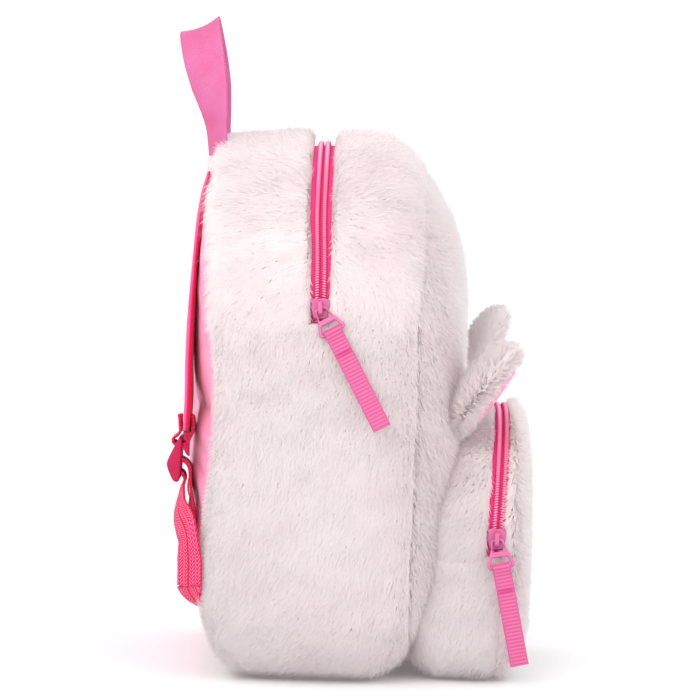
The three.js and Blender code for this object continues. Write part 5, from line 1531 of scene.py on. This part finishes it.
def ribbon_mesh(name, matrix, length):
    """A doubled grosgrain ribbon: up its front layer, round the pull's bar and down its back layer."""
    radius = RIBBON["bar"] + CLEAR + RIBBON["layer"] / 2
    gap = RIBBON["layer"] / 2 + 0.03
    down = np.linspace(-length, -radius - 2.6, 24)
    turn = np.linspace(0, math.pi, 9)
    line = [(y, gap) for y in down]
    line += [(radius * math.sin(a), radius * math.cos(a)) for a in turn]
    line += [(y, -gap) for y in down[::-1]]
    place = lambda y, z: matrix[:3, :3] @ np.array([0, y, z]) + matrix[:3, 3]
    stops = [stop(place(y, z), matrix[:3, 0], RIBBON["width"], RIBBON["layer"] - 0.1) for y, z in line]
    strip = Strip(stops, RIBBON["pitch"] / 5)
    stitches = (length - STITCH["below"], strip.length - length + STITCH["below"])

    def ribs(across, along, share):
        rib = np.sqrt(0.5 + 0.5 * np.cos(2 * math.pi * along / RIBBON["pitch"]))
        edge = smooth((np.abs(across) - RIBBON["width"] / 2 + 1.0) / 0.5)
        sewn = sum(np.exp(-(((along - at) / STITCH["width"]) ** 2)) for at in stitches)
        rib = rib * (1 - 0.7 * sewn) * (1 - 0.5 * edge)
        # The second value drives the ribbon's colour: painted shade in its grooves and at the stitches, a
        # painted highlight on its crests, and a little lighter along its edges.
        return 0.22 * rib - 0.12, rib + 0.25 * edge

    return strip.mesh(name, flat_section(7, 0.04), GROSGRAIN, ribs)


def dress_zip_end(name, surface, centre, loop, depth, wall, swing, hang, length):
    base = zip_frame(surface, centre, loop, depth, -wall)
    bar_height = ZIP["height"] + 2.4 * CLEAR + SLIDER["plate"] + SLIDER["gap"] / 2
    bar = base @ shift(0, -0.6, bar_height) @ rotation("Z", swing) @ rotation("X", -17)
    low = bar @ shift(0, -PULL["length"] + PULL["rim"] / 2, 0) @ rotation("X", 17) @ rotation("Z", hang)
    mesh = new_mesh(name + "_slider", *moved(slider_shape(), base), ENAMEL)
    add_piece(soft_edges(mesh), [name + "_zip_slider"])
    mesh = new_mesh(name + "_pull", *moved(pull_shape(), bar), ENAMEL)
    add_piece(soft_edges(mesh), [name + "_zip_pull"])
    add_piece(ribbon_mesh(name + "_ribbon", low, length), [name + "_zip_ribbon"])


def dress_zips():
    body, pocket = ("main", body_point, BODY_CENTRE), ("pocket", pocket_point, POCKET_CENTRE)
    body_depth = lambda loops: full(ZIP_DEPTH, loops)
    body_share = lambda loops: full(1 / BODY_DEPTH, loops)
    pocket_share = lambda loops: 1 / (pocket_seam(loops) - POCKET_FRONT_Y)
    dress_zip(*body, BODY_ZIP_LOOP, body_depth, body_share, WALL)
    dress_zip(*pocket, POCKET_ZIP_LOOP, pocket_zip_depth, pocket_share, POCKET_WALL)
    step = SLIDER["length"] / 2 + 1
    dress_zip_end(*body, BODY_ZIP_LOOP + step / 190, ZIP_DEPTH, WALL, **MAIN_PULL)
    depth = float(pocket_zip_depth(np.array([POCKET_ZIP_LOOP]))[0])
    dress_zip_end(*pocket, POCKET_ZIP_LOOP + step / 110, depth, POCKET_WALL, **POCKET_PULL)


# Camera, floor and light
CAMERA = {"distance": 2000.0, "per_pixel": 0.565, "rise": 3.5, "roll": 1.8, "target": 175.5, "pixels": 700}
FLOOR_REACH = 30.0
SKY = 1.15
# Each lamp's name, energy, size, place and colour
LAMPS = [
    ("key", 19, 1.4, (-1.7, 0.8, 1.3), (1, 1, 1)), ("over", 1, 1.4, (-0.3, 0.2, 2.2), (1, 1, 1)),
    ("fill", 9, 1.6, (-1.4, -1.4, 0.8), (0.95, 0.92, 1)),
]


def add_camera():
    rise, roll = math.radians(CAMERA["rise"]), math.radians(CAMERA["roll"])
    back = Vector((-math.cos(rise), 0, math.sin(rise)))
    right = Vector((0, -1, 0))
    up = back.cross(right)
    across = right * math.cos(roll) + up * math.sin(roll)
    upward = up * math.cos(roll) - right * math.sin(roll)
    data = bpy.data.cameras.new("camera")
    data.sensor_width = 36
    data.lens = data.sensor_width * CAMERA["distance"] / (CAMERA["pixels"] * CAMERA["per_pixel"])
    camera = bpy.data.objects.new("camera", data)
    at = Vector((0, 0, CAMERA["target"])) + back * CAMERA["distance"]
    camera.matrix_world = Matrix.Translation(at * MM) @ Matrix((across, upward, back)).transposed().to_4x4()
    bpy.context.scene.collection.objects.link(camera)
    bpy.context.scene.camera = camera


def add_light(name, energy, size, at, colour):
    data = bpy.data.lights.new(name, "AREA")
    data.energy, data.size, data.color = energy, size, colour
    light = bpy.data.objects.new(name, data)
    light.location = at
    light.rotation_euler = (Vector((0, 0, 0.15)) - light.location).to_track_quat("-Z", "Y").to_euler()
    bpy.context.scene.collection.objects.link(light)


def add_stage():
    floor = bpy.data.meshes.new("floor")
    corners = [(FLOOR_REACH * x, FLOOR_REACH * y, 0) for x, y in ((-1, -1), (1, -1), (1, 1), (-1, 1))]
    floor.from_pydata(corners, [], [(0, 1, 2, 3)])
    floor.materials.append(new_material("pale_floor", (0.9, 0.9, 0.9), 0.9))
    piece = bpy.data.objects.new("floor", floor)
    bpy.context.scene.collection.objects.link(piece)
    bpy.context.scene.view_settings.view_transform = "Standard"
    world = bpy.data.worlds.new("studio")
    bpy.context.scene.world = world
    world.use_nodes = True
    background = world.node_tree.nodes["Background"]
    background.inputs["Color"].default_value = (1, 1, 1, 1)
    background.inputs["Strength"].default_value = SKY
    for lamp in LAMPS:
        add_light(*lamp)


add_camera()
add_stage()
dress_body()
dress_pocket()
for seed, (name, settings) in enumerate(EARS.items()):
    dress_ear(name, settings, 20 + seed)
dress_panel()
dress_handle()
for name, settings in EARS.items():
    dress_straps(name, settings["side"])
dress_zips()
